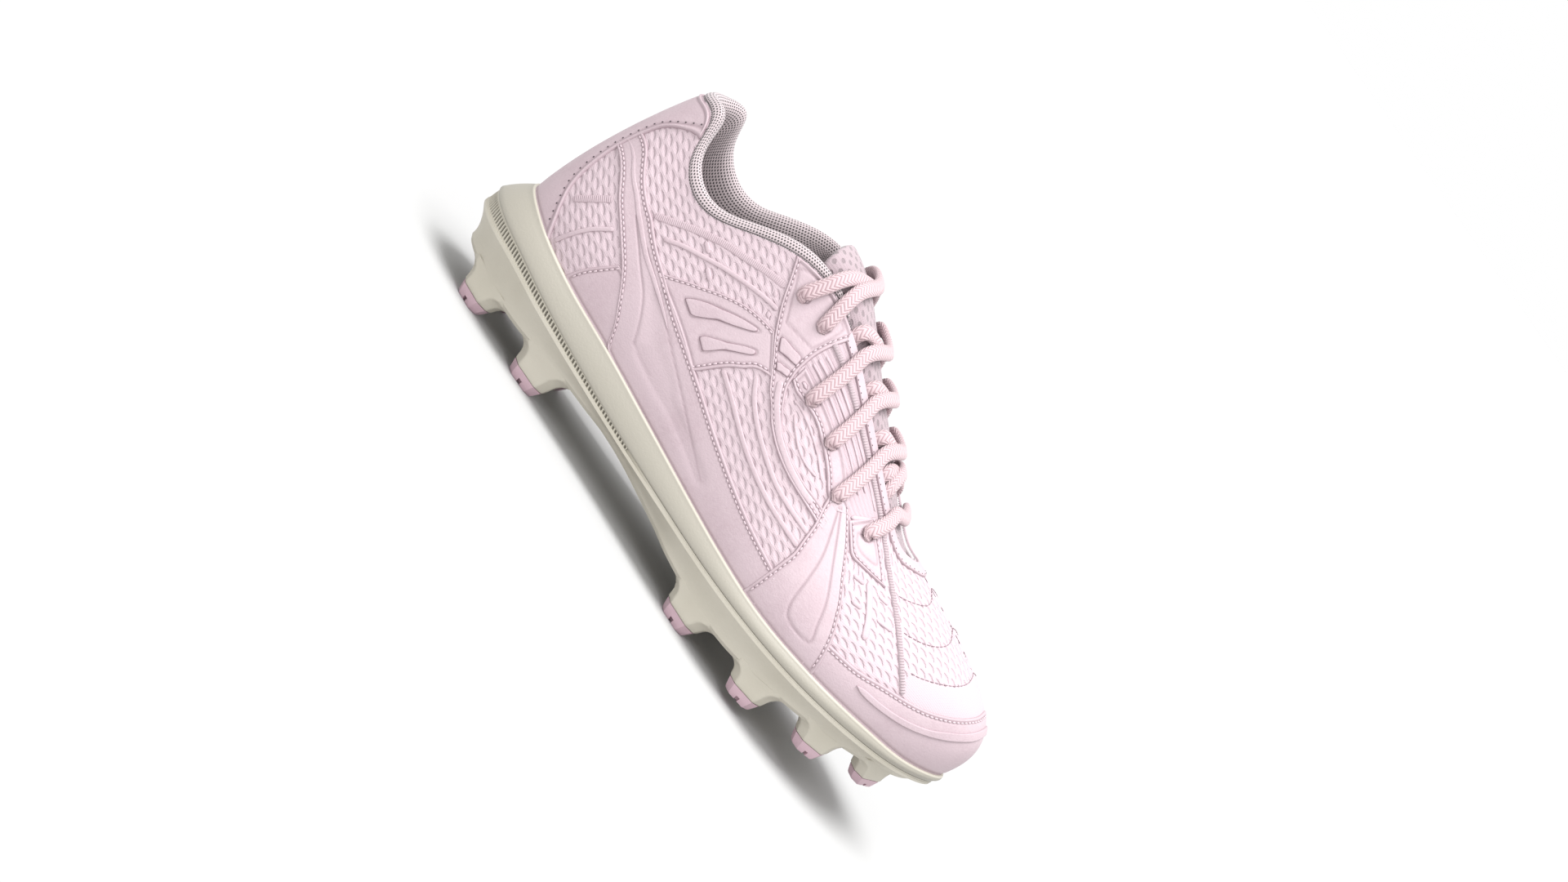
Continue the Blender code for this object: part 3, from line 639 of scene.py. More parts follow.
# Places are on the lateral wall; the medial wall mirrors them. The mesh is plain at heel and toe, and ribbed
# beside the throat.
HEEL_FLAT = ((71, 0.36), (67, 0.22), (64, 0.11), (62, -0.02), (96, -0.02), (88, 0.15), (80, 0.28))
TOE_FLAT = (
    (271, 0.30), (271, 0.44), (278, 0.475), (289, 0.52), (300, 0.58), (322, 0.68), (322, 0.45), (308, 0.42),
    (296, 0.36), (285, 0.31),
)
THROAT_RIBS = (
    (152, 0.72), (166, 0.72), (194, 0.74), (206, 0.70), (213, 0.65), (229, 0.835), (232, 0.87), (234, 1.02),
    (152, 1.02),
)
RIB_EVERY = 4
RIB_DEEP = 0.3
DENT_LONG = 6.4
DENT_ROW = 2.41
DENT_AXES = np.array(((0.934, -0.358), (0.358, 0.934)))
DENT_DEEP = 0.36
DENT_HALF = 0.38
DENT_WIDE = 0.46
DENT_EDGE = 0.3
DENT_TIP = 0.2
DENT_LEAST = 0.001
DENT_GAIN = 1.35
SKIN_COLUMNS = 530
SKIN_ROWS = 152
SKIN_FOOT = -0.015
TABLE_X = np.arange(-2.0, 284.0, 0.5)
WALL_STEPS = 300
THROAT_MIDDLE = 1.8
VAMP = (184.0, 200.0)
VAMP_TURN = (195.0, 211.0)
VAMP_LEAN = 0.3
VAMP_PIVOT = np.array((192.0, 30.0))


def wall_chart(points, v_rows, row, side):
    """Millimetres along the shoe and up its wall. On the vamp the rows turn to follow the shoe's middle."""
    s = np.linspace(0.0, TOE, WALL_STEPS)
    wall_x = upper_point(side * s[:, None], v_rows[None, :])[..., 0]
    at = np.stack([np.interp(TABLE_X, xs, s) for xs in wall_x.T], 1)
    steps = np.linalg.norm(np.diff(upper_point(side * at, v_rows[None, :]), axis=1), axis=2)
    girth = np.concatenate((np.zeros((len(TABLE_X), 1)), np.cumsum(steps, 1)), 1)
    last = np.clip((wall_x[-1][None, :] >= TABLE_X[:, None]).sum(1) - 1, 0, None)
    crest_v = np.interp(-TABLE_X, -wall_x[-1], v_rows)
    top = upper_point(side * np.minimum(at[np.arange(len(at)), last], TOE), v_rows[last])
    crest = np.where((crest_v < 1.0)[:, None], upper_point(0.0 * crest_v + side * TOE, crest_v), top)
    crest[:, 1] = np.where(crest_v < 1.0, crest[:, 1], THROAT_MIDDLE)
    total = girth[np.arange(len(at)), last] + np.linalg.norm(crest - top, axis=1)
    offset = DENT_AXES[1] @ VAMP_PIVOT - VAMP_PIVOT[1]
    even = np.rint((np.interp(VAMP[1], TABLE_X, total) + offset) / DENT_ROW) * DENT_ROW - offset
    girth -= (fade(TABLE_X, *VAMP) * (total - even))[:, None]
    up = np.empty(len(points))
    for k in range(len(v_rows)):
        pick = row == k
        up[pick] = np.interp(points[pick, 0], TABLE_X, girth[:, k])
    chart = np.stack((points[:, 0], up), 1)
    turned = (chart - VAMP_PIVOT) @ DENT_AXES + VAMP_PIVOT
    ahead = points[:, 0] + VAMP_LEAN * points[:, 2]
    return chart + fade(ahead, *VAMP_TURN)[:, None] * (turned - chart)


def dents(chart):
    """Depth from 0 to 1 of the knitted dents at places on the chart: lenses, steep on their upper side."""
    along, across = DENT_AXES @ chart.T
    tier = np.floor(across / DENT_ROW)
    u = np.mod(along / DENT_LONG + 0.5 * tier, 1.0) - 0.5
    w = across / DENT_ROW - tier - 0.5
    half = DENT_WIDE * np.clip(1 - (u / DENT_HALF) ** 2, DENT_LEAST, 1.0)
    fall = np.clip((half - w) / (2 * half), 0.0, 1.0)
    return DENT_GAIN * fade(fall, 0.0, DENT_EDGE) * (1 - fall) * fade(half, 0.0, DENT_TIP)


def staggered(along, across):
    """A place in its cell, each way from -0.5 to 0.5, where every row of cells shifts by half a cell."""
    tier = across.floor()
    return (along + tier * 0.5).fract() - 0.5, across - tier - 0.5


# The finish has the same dents, finer than the mesh can carry them. Its shade is 1 on the dented mesh, 0
# where the mesh is plain and -1 on the ribs.
PINK = (0.53, 0.424, 0.459)
PINK_MOTTLE_AND_SHADE = (0.40, 0.305, 0.34)
YARN = 0.75
mesh_pink = Finish("pink mesh", Roughness=0.75, Sheen_Weight=0.1)
along, across = (mesh_pink.along * x + mesh_pink.across * y for x, y in DENT_AXES)
u, w = staggered(along / DENT_LONG, across / DENT_ROW)
lens = 1 - u * u * (1 / DENT_HALF**2)
half = lens.math("MAXIMUM", lens, DENT_LEAST) * DENT_WIDE
fall = (half - w) / (half * 2)
fall = fall.node("Clamp", {0: fall})
kind = mesh_pink.attribute("shade")
dent = fall.ramp(0.0, DENT_EDGE) * (1 - fall) * half.ramp(0.0, DENT_TIP) * DENT_GAIN * kind.ramp(0.0, 1.0)
ribbed = (kind * -1.0).ramp(0.0, 1.0)
mottle = mesh_pink.noise(0.9) * 0.3 - 0.15
# Painted shade: the colour darkens in the dents and on the ribbed zone; the mottle varies the tone at random.
mesh_pink.feed("Base Color", (dent * 0.3 + ribbed * 0.35 + mottle).blend(rgb(PINK), rgb(PINK_MOTTLE_AND_SHADE)))
yarn = (mesh_pink.along / YARN).wave() * (mesh_pink.across / YARN).wave() + mesh_pink.noise(0.4)
mesh_pink.bump(yarn * 0.3 - dent, 0.24)


def skin(side):
    """The mesh of one side, dented, plain or ribbed as its zones say."""
    v_rows = SKIN_FOOT + (1 - SKIN_FOOT) * np.arange(SKIN_ROWS + 1) / SKIN_ROWS

    def place(column, row):
        s = side * (column / SKIN_COLUMNS if side > 0 else 1 - column / SKIN_COLUMNS) * TOE
        v = v_rows[row]
        points = upper_point(s, v)
        chart = wall_chart(points, v_rows, row, side)
        kind = np.ones(len(s))
        for zone, value in ((HEEL_FLAT, 0.0), (TOE_FLAT, 0.0), (THROAT_RIBS, -1.0)):
            kind[inside(s, v, np.array(zone) * (side, 1))] = value
        rib = 0.5 + 0.5 * np.cos(2 * np.pi * row / RIB_EVERY)
        lift = np.where(kind > 0, -DENT_DEEP * dents(chart), np.where(kind < 0, -RIB_DEEP * rib, 0.0))
        return points + upper_out(s, v) * lift[:, None], chart, kind

    return bent(place, SKIN_COLUMNS, SKIN_ROWS)


for side, side_name in SIDES:
    nodes = ["upper"] if side_name == "lateral" else []
    new_piece(f"upper_mesh_{side_name}", [skin(side)], mesh_pink.material, "mesh", *nodes)

# Lining: grey spacer knit inside the whole upper. It is sewn to the mesh along the opening, where it turns
# over the edge and down inside.
LINING_COLUMNS = 360
LINING_TALL = 90.0
LINING_EDGE = ((1.0, 0.0), (1.004, -0.35), (1.007, -1.1), (1.004, -1.85), (1.0, -WALL))
LINING_EDGE += tuple((v, -WALL) for v in np.linspace(0.96, 0.0, 24))


def lining_place(column, row):
    v, lift = np.array(LINING_EDGE)[row].T
    s = column / LINING_COLUMNS * PERIOD
    return upper_skin(s, v, lift), np.stack((s, LINING_TALL * v), 1)


lining_mesh = bent(lining_place, LINING_COLUMNS, len(LINING_EDGE) - 1)
new_piece("upper_lining", [lining_mesh], lining.material, "lining")

# Heel counter, the first of the overlays: panels of matte synthetic leather, cut to shape, pressed with
# raised figures and sewn to the mesh behind a rolled lip. The counter wraps the back of the shoe.
EDGE_ROWS = np.array((0.0, 0.04, 0.2, 0.45, 0.75, 1.1, 1.45, 1.8, 2.2, 2.8))
EDGE_MOST = 0.45
EDGE_ROUND = 0.6
EDGE_SHADE = 0.35
PANEL_STEP = 0.8
PANEL_FINE = 600
LINE_FINE = 40
PANEL_SUNK = 0.5
PANEL_THIN = 0.12
LIP = 0.7
LIP_HALF = 0.4
LIP_RISE = 0.27
SEAM = 1.8
SEAM_HALF = 0.45
SEAM_DEEP = 0.22
SEAM_SHADE = 0.5
EYELET = 2.5
EYELET_SOFT = 0.6
EYELET_DEEP = 2.4
EYELET_SHADE = 0.9


def run_of(points):
    """The way along a row of points to each of them."""
    return np.append(0.0, np.cumsum(np.linalg.norm(np.diff(points, axis=0), axis=1)))


def evenly(s, v, step=PANEL_STEP):
    """A path of s and v on the upper, cut anew into steps of about the given length."""
    run = run_of(upper_point(s, v))
    even = np.linspace(0.0, run[-1], max(3, int(run[-1] / step)))
    return np.interp(even, run, s), np.interp(even, run, v)


def line(places, side=1, step=PANEL_STEP):
    """A smooth path through places (s, v) on the upper, as evenly gives it."""
    places = np.array(places) * (side, 1.0)
    fine = np.linspace(0, len(places) - 1, LINE_FINE * len(places))
    return evenly(*(smooth(fine, np.arange(len(places)), values) for values in places.T), step)


def bell(distance, half):
    return np.exp(-((distance / half) ** 2))


def near(points, path):
    """Distance from each point to a path."""
    best = np.full(len(points), np.inf)
    for a, b in zip(path, path[1:]):
        t = np.clip((points - a) @ (b - a) / ((b - a) @ (b - a)), 0.0, 1.0)
        best = np.minimum(best, np.linalg.norm(points - a - t[:, None] * (b - a), axis=1))
    return best


def spread(length, count):
    """Shares of the way across a panel, close together near its edges. Length may be one for each column."""
    length = np.asarray(length, float)
    ends = np.minimum(EDGE_ROWS / length[..., None], EDGE_MOST * EDGE_ROWS / EDGE_ROWS[-1])
    first, last = ends[..., -1:], 1 - ends[..., -1:]
    middle = first + (last - first) * np.linspace(0.0, 1.0, count)
    return np.concatenate((ends[..., :-1], middle, 1 - ends[..., -2::-1]), -1)


def rails(pairs, side, p):
    """The two edges of a panel at p, counted in rows of its table: s and v of one, then of the other."""
    table = np.array(pairs) * (side, 1.0, side, 1.0)
    return [smooth(p, np.arange(len(table)), values) for values in table.T]


def panel(pairs, thick, side=1, grooves=(), pits=(), lip=LIP_RISE):
    """A panel between two edges, with grooves of places, half width, depth and painted shade, and eyelet
    pits.
    """
    p = np.linspace(0, len(pairs) - 1, PANEL_FINE)
    s0, v0, s1, v1 = rails(pairs, side, p)
    run = run_of(upper_point((s0 + s1) / 2, (v0 + v1) / 2))
    columns = spread(run[-1], int(run[-1] / PANEL_STEP))
    s0, v0, s1, v1 = (row[:, None] for row in rails(pairs, side, np.interp(columns * run[-1], run, p)))
    width = np.linalg.norm(upper_point(s1, v1) - upper_point(s0, v0), axis=-1)
    rows = spread(width[:, 0], max(3, int(width.max() / PANEL_STEP)))
    s, v = s0 + (s1 - s0) * rows, v0 + (v1 - v0) * rows
    along = (np.minimum(columns, 1 - columns) * run[-1])[:, None]
    gap = np.minimum(np.minimum(rows, 1 - rows) * width, along)
    edge = np.clip(gap / EDGE_ROUND, 0.0, 1.0)
    seam = bell(gap - SEAM, SEAM_HALF) if lip else 0.0
    lift = (thick + PANEL_SUNK) * np.sqrt(1 - (1 - edge) ** 2) - PANEL_SUNK
    lift += lip * bell(gap - LIP, LIP_HALF) * edge - SEAM_DEEP * seam
    # Painted shade: the colour darkens at the cut edge, in the seam's groove, in pressed grooves and in
    # eyelet pits.
    shade = EDGE_SHADE + (1 - EDGE_SHADE) * edge - SEAM_SHADE * seam
    points, out = upper_point(s, v), upper_out(s, v)
    pressed = np.zeros(s.shape)
    for places, half, deep, groove_shade in grooves:
        path = upper_point(*line(places, side))
        cut = bell(near(points.reshape(-1, 3), path), half).reshape(s.shape)
        pressed += deep * cut
        shade = shade * (1 - groove_shade * cut)
    lift -= np.minimum(pressed, thick - PANEL_THIN)
    for pit_s, pit_v in pits:
        away = np.linalg.norm(points - upper_point(side * pit_s, pit_v), axis=-1)
        hole = np.clip((EYELET - away) / EYELET_SOFT, 0.0, 1.0)
        lift -= EYELET_DEEP * hole
        shade = shade * (1 - EYELET_SHADE * hole)
    points = points + out * lift[..., None]
    chart = np.stack(np.broadcast_arrays(columns[:, None] * run[-1], rows * width), -1)
    middle = tuple(np.array(s.shape) // 2)
    steps = [np.gradient(points, axis=axis)[middle] for axis in (0, 1)]
    if np.cross(*steps) @ out[middle] < 0:
        points, chart, shade = points[:, ::-1], chart[:, ::-1], shade[:, ::-1]
    return bent(lambda i, j: (points[i, j], chart[i, j], shade[i, j]), len(columns) - 1, rows.shape[1] - 1)


CELL_SIDES = 72
CELL_INSETS = (0.0, 0.28, 0.5, 0.85, 1.25)
CELL_MOST = 0.6
CELL_TOP = 0.8
CELL_LIFTS = np.array((-0.3, 0.25, 0.75, 0.95, 1.0, 1.0, 1.0))
CELL_SHADES = np.array((0.0, 0.1, 0.6, 1.0, 1.0, 1.0, 1.0))


def cell(places, base, rise, side=1):
    """A raised figure over a closed outline on a panel base thick, with painted shade round its foot."""
    outline = np.array((*places, places[0])) * (side, 1.0)
    run = run_of(upper_point(*outline.T))
    even = np.arange(CELL_SIDES) * run[-1] / CELL_SIDES
    ring = np.stack([np.interp(even, run, values) for values in outline.T], 1)
    ring = (np.roll(ring, 1, 0) + 2 * ring + np.roll(ring, -1, 0)) / 4
    centre = ring.mean(0)
    reach = np.linalg.norm(upper_point(*ring.T) - upper_point(*centre), axis=1)
    shares = [np.minimum(inset / reach, CELL_MOST)[:, None] for inset in CELL_INSETS] + [CELL_TOP, 1.0]
    levels = np.array([ring + (centre - ring) * share for share in shares])

    def place(column, row):
        points = upper_skin(*levels[row, column % CELL_SIDES].T, CELL_LIFTS[row] * rise + base)
        return points, points[:, :2], CELL_SHADES[row]

    mesh = weld(bent(place, CELL_SIDES, len(levels) - 1))
    out = upper_out(*centre)
    if np.mean([np.dot(polygon.normal, out) for polygon in mesh.polygons]) < 0:
        mesh.flip_normals()
    return mesh


RIBBON_STEP = 0.7
RIBBON_RIB_STEPS = 6
RIBBON_SEAT = 0.05
RIBBON_SQUARE = 0.5
RIBBON_SECTION = ((180, 0.5), (180, 0), (150, 0), (120, 0), (90, 0), (60, 0), (30, 0), (0, 0), (0, 0.5))
RIBBON_FOOT_SHADE = (0.3, 0.45)
RIB_FALL = 0.3
END_LEAST = 0.02


def ribbon(places, half, rise, side=1, base=0.0, pitch=0.0, point=0.0):
    """A raised strip along a path on base, with cross ribs at pitch and ends drawn out over point."""
    s, v = line(places, side, pitch / RIBBON_RIB_STEPS if pitch else RIBBON_STEP)
    points, out = upper_point(s, v), upper_out(s, v)
    flank = np.cross(out, unit(np.gradient(points, axis=0)))
    run = run_of(points)
    end = np.clip(np.minimum(run, run[-1] - run) / max(half, point), END_LEAST, 1.0)
    taper = np.sqrt(1 - (1 - end) ** 2)
    ribs = 1 - RIB_FALL + RIB_FALL * np.cos(2 * np.pi * run / pitch) if pitch else np.ones(len(run))
    turn, sunk = np.array(RIBBON_SECTION).T
    turn = np.radians(turn)

    def place(column, row):
        wide = half * np.cos(turn[row]) * taper[column]
        arch = np.sin(turn[row])
        tall = base + rise * arch**RIBBON_SQUARE * (taper * ribs)[column] - sunk[row] - RIBBON_SEAT
        # Painted shade: darker at the strip's foot and between its cross ribs.
        shade = np.where(arch < RIBBON_FOOT_SHADE[0], RIBBON_FOOT_SHADE[1], 1.0) * (1 - RIB_FALL * (1 - ribs[column]))
        points_there = points[column] + flank[column] * wide[:, None] + out[column] * tall[:, None]
        return points_there, np.stack((run[column], wide), 1), shade

    return bent(place, len(s) - 1, len(turn) - 1)


LEATHER = (0.51, 0.407, 0.44)
LEATHER_DEEP = (0.475, 0.372, 0.405)
LEATHER_SHADE = (0.24, 0.165, 0.19)
leather = Finish("pink synthetic", Specular_IOR_Level=0.35)
mottle = leather.noise(18.0, 4.0) + leather.noise(1.7) * 0.5
hide = mottle.ramp(0.65, 1.0).blend(rgb(LEATHER), rgb(LEATHER_DEEP))
# The shade attribute paints shade into the colour: at cut edges, seams, grooves and eyelet pits, and round
# raised figures and strips.
leather.feed("Base Color", leather.attribute("shade").blend(rgb(LEATHER_SHADE), hide))
leather.feed("Roughness", leather.noise(5.0) * 0.2 + 0.42)
leather.bump(leather.noise(0.7, 3.0) + leather.noise(1.8) * 0.4, 0.13)

COUNTER_LIFT = 0.75
COUNTER_HALF = (
    (47.5, -0.02), (42, 0.07), (37, 0.14), (32, 0.21), (28, 0.30), (25, 0.41), (23, 0.53), (23, 0.64),
    (24, 0.73), (27, 0.79), (33, 0.87), (41, 0.99),
)
COUNTER = [(-s, v, s, v) for s, v in COUNTER_HALF]
new_piece("heel_counter_panel", [panel(COUNTER, COUNTER_LIFT)], leather.material, "overlay", "heel_counter")

# Foxing: the long panel on each side, from under the counter down to the arch and on to the ball, with a
# pressed ridge that opens into a leaf. A thin smooth panel lies under it at the heel's side. Both are sewn.
FOXING_LIFT = 0.5
FOXING = (
    (20, 0.50, 20, 0.65), (26, 0.50, 26, 0.65), (34, 0.495, 37, 0.655), (45, 0.50, 50, 0.70),
    (54, 0.485, 61, 0.70), (62, 0.44, 67, 0.67), (71, 0.37, 73, 0.63), (77, 0.30, 79, 0.59),
    (83, 0.21, 85, 0.55), (89, 0.11, 91, 0.505), (94, 0.0, 97, 0.465), (99, -0.02, 103, 0.43),
    (109, -0.02, 110, 0.395), (124, -0.02, 124, 0.34), (142, -0.02, 142, 0.285), (161, -0.02, 161, 0.245),
    (182, -0.02, 182, 0.215), (207, -0.02, 207, 0.20),
)
FOXING_RIDGE = (
    (22, 0.57), (38, 0.58), (50, 0.63), (58, 0.62), (65, 0.59), (75, 0.53), (84, 0.48), (103, 0.36),
)
RIDGE_HALF = 1.0
RIDGE_RISE = 0.28
RIDGE_POINT = 35.0
LEAF_TOP = ((72, 0.565), (81, 0.51), (98, 0.39), (109, 0.32), (120, 0.26), (137, 0.18), (156, 0.10))
LEAF_LOW = ((58, 0.60), (68, 0.535), (78, 0.45), (86, 0.375), (92, 0.29), (96, 0.22), (99, 0.16))
LEAF_CORNER = ((99, 0.16), (105, 0.148), (112, 0.142))
LEAF_VALLEY = ((104, 0.165), (114, 0.15), (128, 0.145), (140, 0.13), (155, 0.10))
LEAF_HOLLOW = ((90, 0.42), (98, 0.32), (106, 0.24), (120, 0.19))
FOXING_CUTS = (
    (LEAF_LOW, 0.45, 0.3, 0.35), (LEAF_CORNER, 0.45, 0.2, 0.2), (LEAF_TOP, 0.38, 0.22, 0.4),
    (LEAF_VALLEY, 2.4, 0.6, 0.06), (LEAF_HOLLOW, 4.0, 0.4, 0.0),
)

HEEL_SIDE_LIFT = 0.3
HEEL_SIDE = ((62, -0.02, 97, -0.02), (64, 0.11, 92, 0.11), (67, 0.22, 86, 0.22), (71, 0.355, 76, 0.355))
for side, name in SIDES:
    meshes = [
        panel(FOXING, FOXING_LIFT, side, FOXING_CUTS),
        ribbon(FOXING_RIDGE, RIDGE_HALF, RIDGE_RISE, side, FOXING_LIFT, point=RIDGE_POINT),
        panel(HEEL_SIDE, HEEL_SIDE_LIFT, side),
    ]
    new_piece(f"foxing_{name}_panel", meshes, leather.material, "overlay", f"foxing_{name}")

# Saddle: a fan of the same synthetic above the foxing, sewn down to tie it to the eyestay, with two raised
# drops pressed into it.
SADDLE_LIFT = 0.42
SADDLE = (
    (82, 0.52, 122, 0.325), (85, 0.55, 124, 0.355), (92, 0.60, 128, 0.42), (99, 0.633, 132, 0.475),
    (107, 0.665, 136, 0.515), (117, 0.69, 139, 0.55), (126, 0.70, 142, 0.57), (136, 0.705, 147, 0.59),
)
DROPS = (
    ((98, 0.53), (101, 0.56), (106, 0.59), (114, 0.62), (122, 0.643), (130, 0.662),
     (130.5, 0.65), (128, 0.633), (122, 0.60), (114, 0.56), (109, 0.52), (105, 0.49)),
    ((114, 0.45), (115, 0.47), (120, 0.505), (126, 0.545), (131, 0.58), (135, 0.602),
     (136, 0.59), (135, 0.577), (129, 0.53), (124, 0.485), (119, 0.42)),
)
FIGURE_CUT = (0.42, 0.25, 0.4)
FIGURE_RISE = 0.45


def cuts_round(figures):
    """The grooves round raised figures."""
    return [((*places, places[0]), *FIGURE_CUT) for places in figures]


for side, name in SIDES:
    meshes = [panel(SADDLE, SADDLE_LIFT, side, cuts_round(DROPS))]
    meshes += [cell(drop, SADDLE_LIFT, FIGURE_RISE, side) for drop in DROPS]
    new_piece(f"saddle_{name}_panel", meshes, leather.material, "overlay", f"saddle_{name}")

# Forefoot strap: a thicker panel sewn over the ends of the foxing and the toe cap, up to the eyestay. A long
# drop is pressed into it as a groove.
STRAP_LIFT = 0.75
STRAP = (
    (199, -0.02, 241, -0.02), (199.5, 0.07, 239.5, 0.07), (200, 0.15, 238, 0.15), (201, 0.25, 236, 0.25),
    (202, 0.33, 233.5, 0.33), (201.5, 0.40, 231, 0.40), (201, 0.49, 226, 0.49), (199.5, 0.55, 221, 0.58),
    (199, 0.61, 216, 0.635), (199, 0.68, 210, 0.68),
)
STRAP_DROP = (
    (206, 0.63), (212, 0.46), (213.5, 0.32), (214.5, 0.20), (217, 0.13), (221, 0.11), (227, 0.11),
    (230.5, 0.13), (228, 0.22), (224, 0.36), (214, 0.54), (207, 0.64),
)
STRAP_CUTS = ((STRAP_DROP, 0.45, 0.35, 0.5),)
for side, name in SIDES:
    node = f"forefoot_strap_{name}"
    meshes = [panel(STRAP, STRAP_LIFT, side, STRAP_CUTS)]
    new_piece(f"{node}_panel", meshes, leather.material, "overlay", node)

# Eyestay: the panel beside the ankle's end of the throat runs down into a band along the side, a narrow one
# in front of it carries the other eyelets, and a pointed one the lowest. The eyelets are punched and bare.
BAND_LIFT = 0.6
STAY_BAND = (
    (122, 1.0, 168, 0.99), (124, 0.95, 164, 0.93), (126, 0.90, 160, 0.87), (130, 0.80, 156, 0.79),
    (136, 0.70, 154, 0.71), (141, 0.645, 154, 0.66), (145, 0.60, 155, 0.62), (149, 0.56, 158, 0.58),
    (154, 0.53, 162, 0.545), (159, 0.495, 165, 0.53), (166, 0.47, 170, 0.52), (173, 0.46, 176, 0.512),
    (180, 0.46, 181, 0.513), (188, 0.47, 187, 0.52), (197, 0.485, 196, 0.545), (206, 0.50, 206, 0.565),
)
BAND_LINE = (
    (127, 0.955), (130, 0.97), (136, 0.975), (146, 0.975), (154, 0.97), (159, 0.955), (160, 0.94),
    (153, 0.80), (151, 0.785), (138, 0.765), (136, 0.78), (129, 0.92), (127, 0.955),
)
BAND_CELLS = (
    ((139, 0.71), (140, 0.72), (151, 0.735), (152, 0.73),
     (152, 0.70), (151, 0.695), (142, 0.67), (141, 0.68)),
    ((144, 0.64), (145, 0.65), (151, 0.67), (152, 0.665), (152, 0.645), (146, 0.62)),
)
BAND_CUTS = [(BAND_LINE, 0.45, 0.25, 0.45)] + cuts_round(BAND_CELLS)
BAND_STRIP = (
    (150.5, 0.615), (154, 0.57), (158, 0.54), (164, 0.508), (169, 0.495), (178, 0.486), (188, 0.495),
    (195, 0.512),
)
STRIP_HALF = 1.35
STRIP_RISE = 0.42
FRONT_LIFT = 0.6
STAY_FRONT = (
    (154, 0.655, 155, 0.73), (158, 0.645, 161, 0.73), (162, 0.65, 166, 0.732), (168, 0.663, 174, 0.74),
    (174, 0.668, 180, 0.742), (180, 0.66, 186, 0.745), (186, 0.65, 194, 0.75), (192, 0.63, 200, 0.737),
    (198, 0.60, 206, 0.71), (205, 0.60, 213, 0.67),
)
STAY_POINT = (
    (213, 0.655, 227, 0.84), (218, 0.62, 231, 0.825), (223, 0.587, 236, 0.805), (229, 0.605, 240, 0.782),
    (235, 0.63, 244, 0.755), (242, 0.66, 247, 0.722), (249, 0.69, 249.5, 0.698),
)
FRONT_CELL = ((157.5, 0.685), (158.5, 0.70), (161, 0.705), (162, 0.69), (160, 0.68))
FRONT_RISE = 0.35
POINT_CELL = (
    (221, 0.68), (223, 0.65), (228, 0.652), (236, 0.69), (239, 0.72), (233, 0.76), (229, 0.75), (221, 0.68),
)
POINT_CUTS = ((POINT_CELL, 0.45, 0.3, 0.45),)
EYELETS = ((137, 0.89), (152, 0.88), (167, 0.7), (186, 0.71), (203, 0.65), (227, 0.74))
for side, name in SIDES:
    meshes = [
        panel(STAY_BAND, BAND_LIFT, side, BAND_CUTS, EYELETS[:2]),
        ribbon(BAND_STRIP, STRIP_HALF, STRIP_RISE, side, BAND_LIFT),
        panel(STAY_FRONT, FRONT_LIFT, side, pits=EYELETS[2:5]),
        panel(STAY_POINT, FRONT_LIFT, side, POINT_CUTS, EYELETS[5:]),
    ]
    meshes += [cell(places, BAND_LIFT, FIGURE_RISE, side) for places in BAND_CELLS]
    meshes += [cell(FRONT_CELL, FRONT_LIFT, FRONT_RISE, side)]
    nodes = ["eyestay"] if name == "lateral" else []
    new_piece(f"eyestay_{name}", meshes, leather.material, "overlay", *nodes)

# Rim round the throat: a narrow strip of the synthetic, folded over the edge of the opening and sewn down on
# the eyestays and the vamp.
RIM_LIFT = 0.9
RIM_TOP = 0.995
RIM_HALF = (
    (164, 0.945), (175, 0.94), (190, 0.935), (205, 0.935), (222, 0.93), (234, 0.922), (246, 0.92),
    (256, 0.92), (267, 0.93), (282, 0.95), (300, 0.955), (TOE, 0.957),
)


def round_toe(half):
    """A panel's rows from the lateral side to the toe's middle, and mirrored back down the medial side."""
    return [*half, *((PERIOD - s0, v0, PERIOD - s1, v1) for s0, v0, s1, v1 in half[-2::-1])]


RIM = round_toe([(s, v, s, RIM_TOP) for s, v in RIM_HALF])
new_piece("throat_rim", [panel(RIM, RIM_LIFT, lip=0.0)], leather.material, "overlay")

# Toe cap: one smooth panel of the synthetic, drawn round the toe and sewn along its upper edge. A ridge that
# widens towards the toe is pressed into it.
CAP_LIFT = 0.5
CAP_FOOT = -0.02
CAP_HALF = (
    (234, 0.20), (239, 0.21), (251, 0.23), (264, 0.28), (276, 0.31), (285, 0.34), (296, 0.39), (308, 0.45),
    (TOE, 0.49),
)
CAP = round_toe([(s, CAP_FOOT, s, v) for s, v in CAP_HALF])
CAP_RIDGE_LIFT = 1.25
CAP_RIDGE = round_toe((
    (254, 0.15, 254.5, 0.162), (258, 0.132, 258, 0.178), (266, 0.133, 266, 0.183), (278, 0.155, 276, 0.20),
    (292, 0.215, 287, 0.24), (307, 0.295, 298, 0.305), (TOE, 0.345, TOE, 0.405),
))
meshes = [panel(CAP, CAP_LIFT), panel(CAP_RIDGE, CAP_RIDGE_LIFT, lip=0.0)]
new_piece("toe_cap_panel", meshes, leather.material, "overlay", "toe_cap")

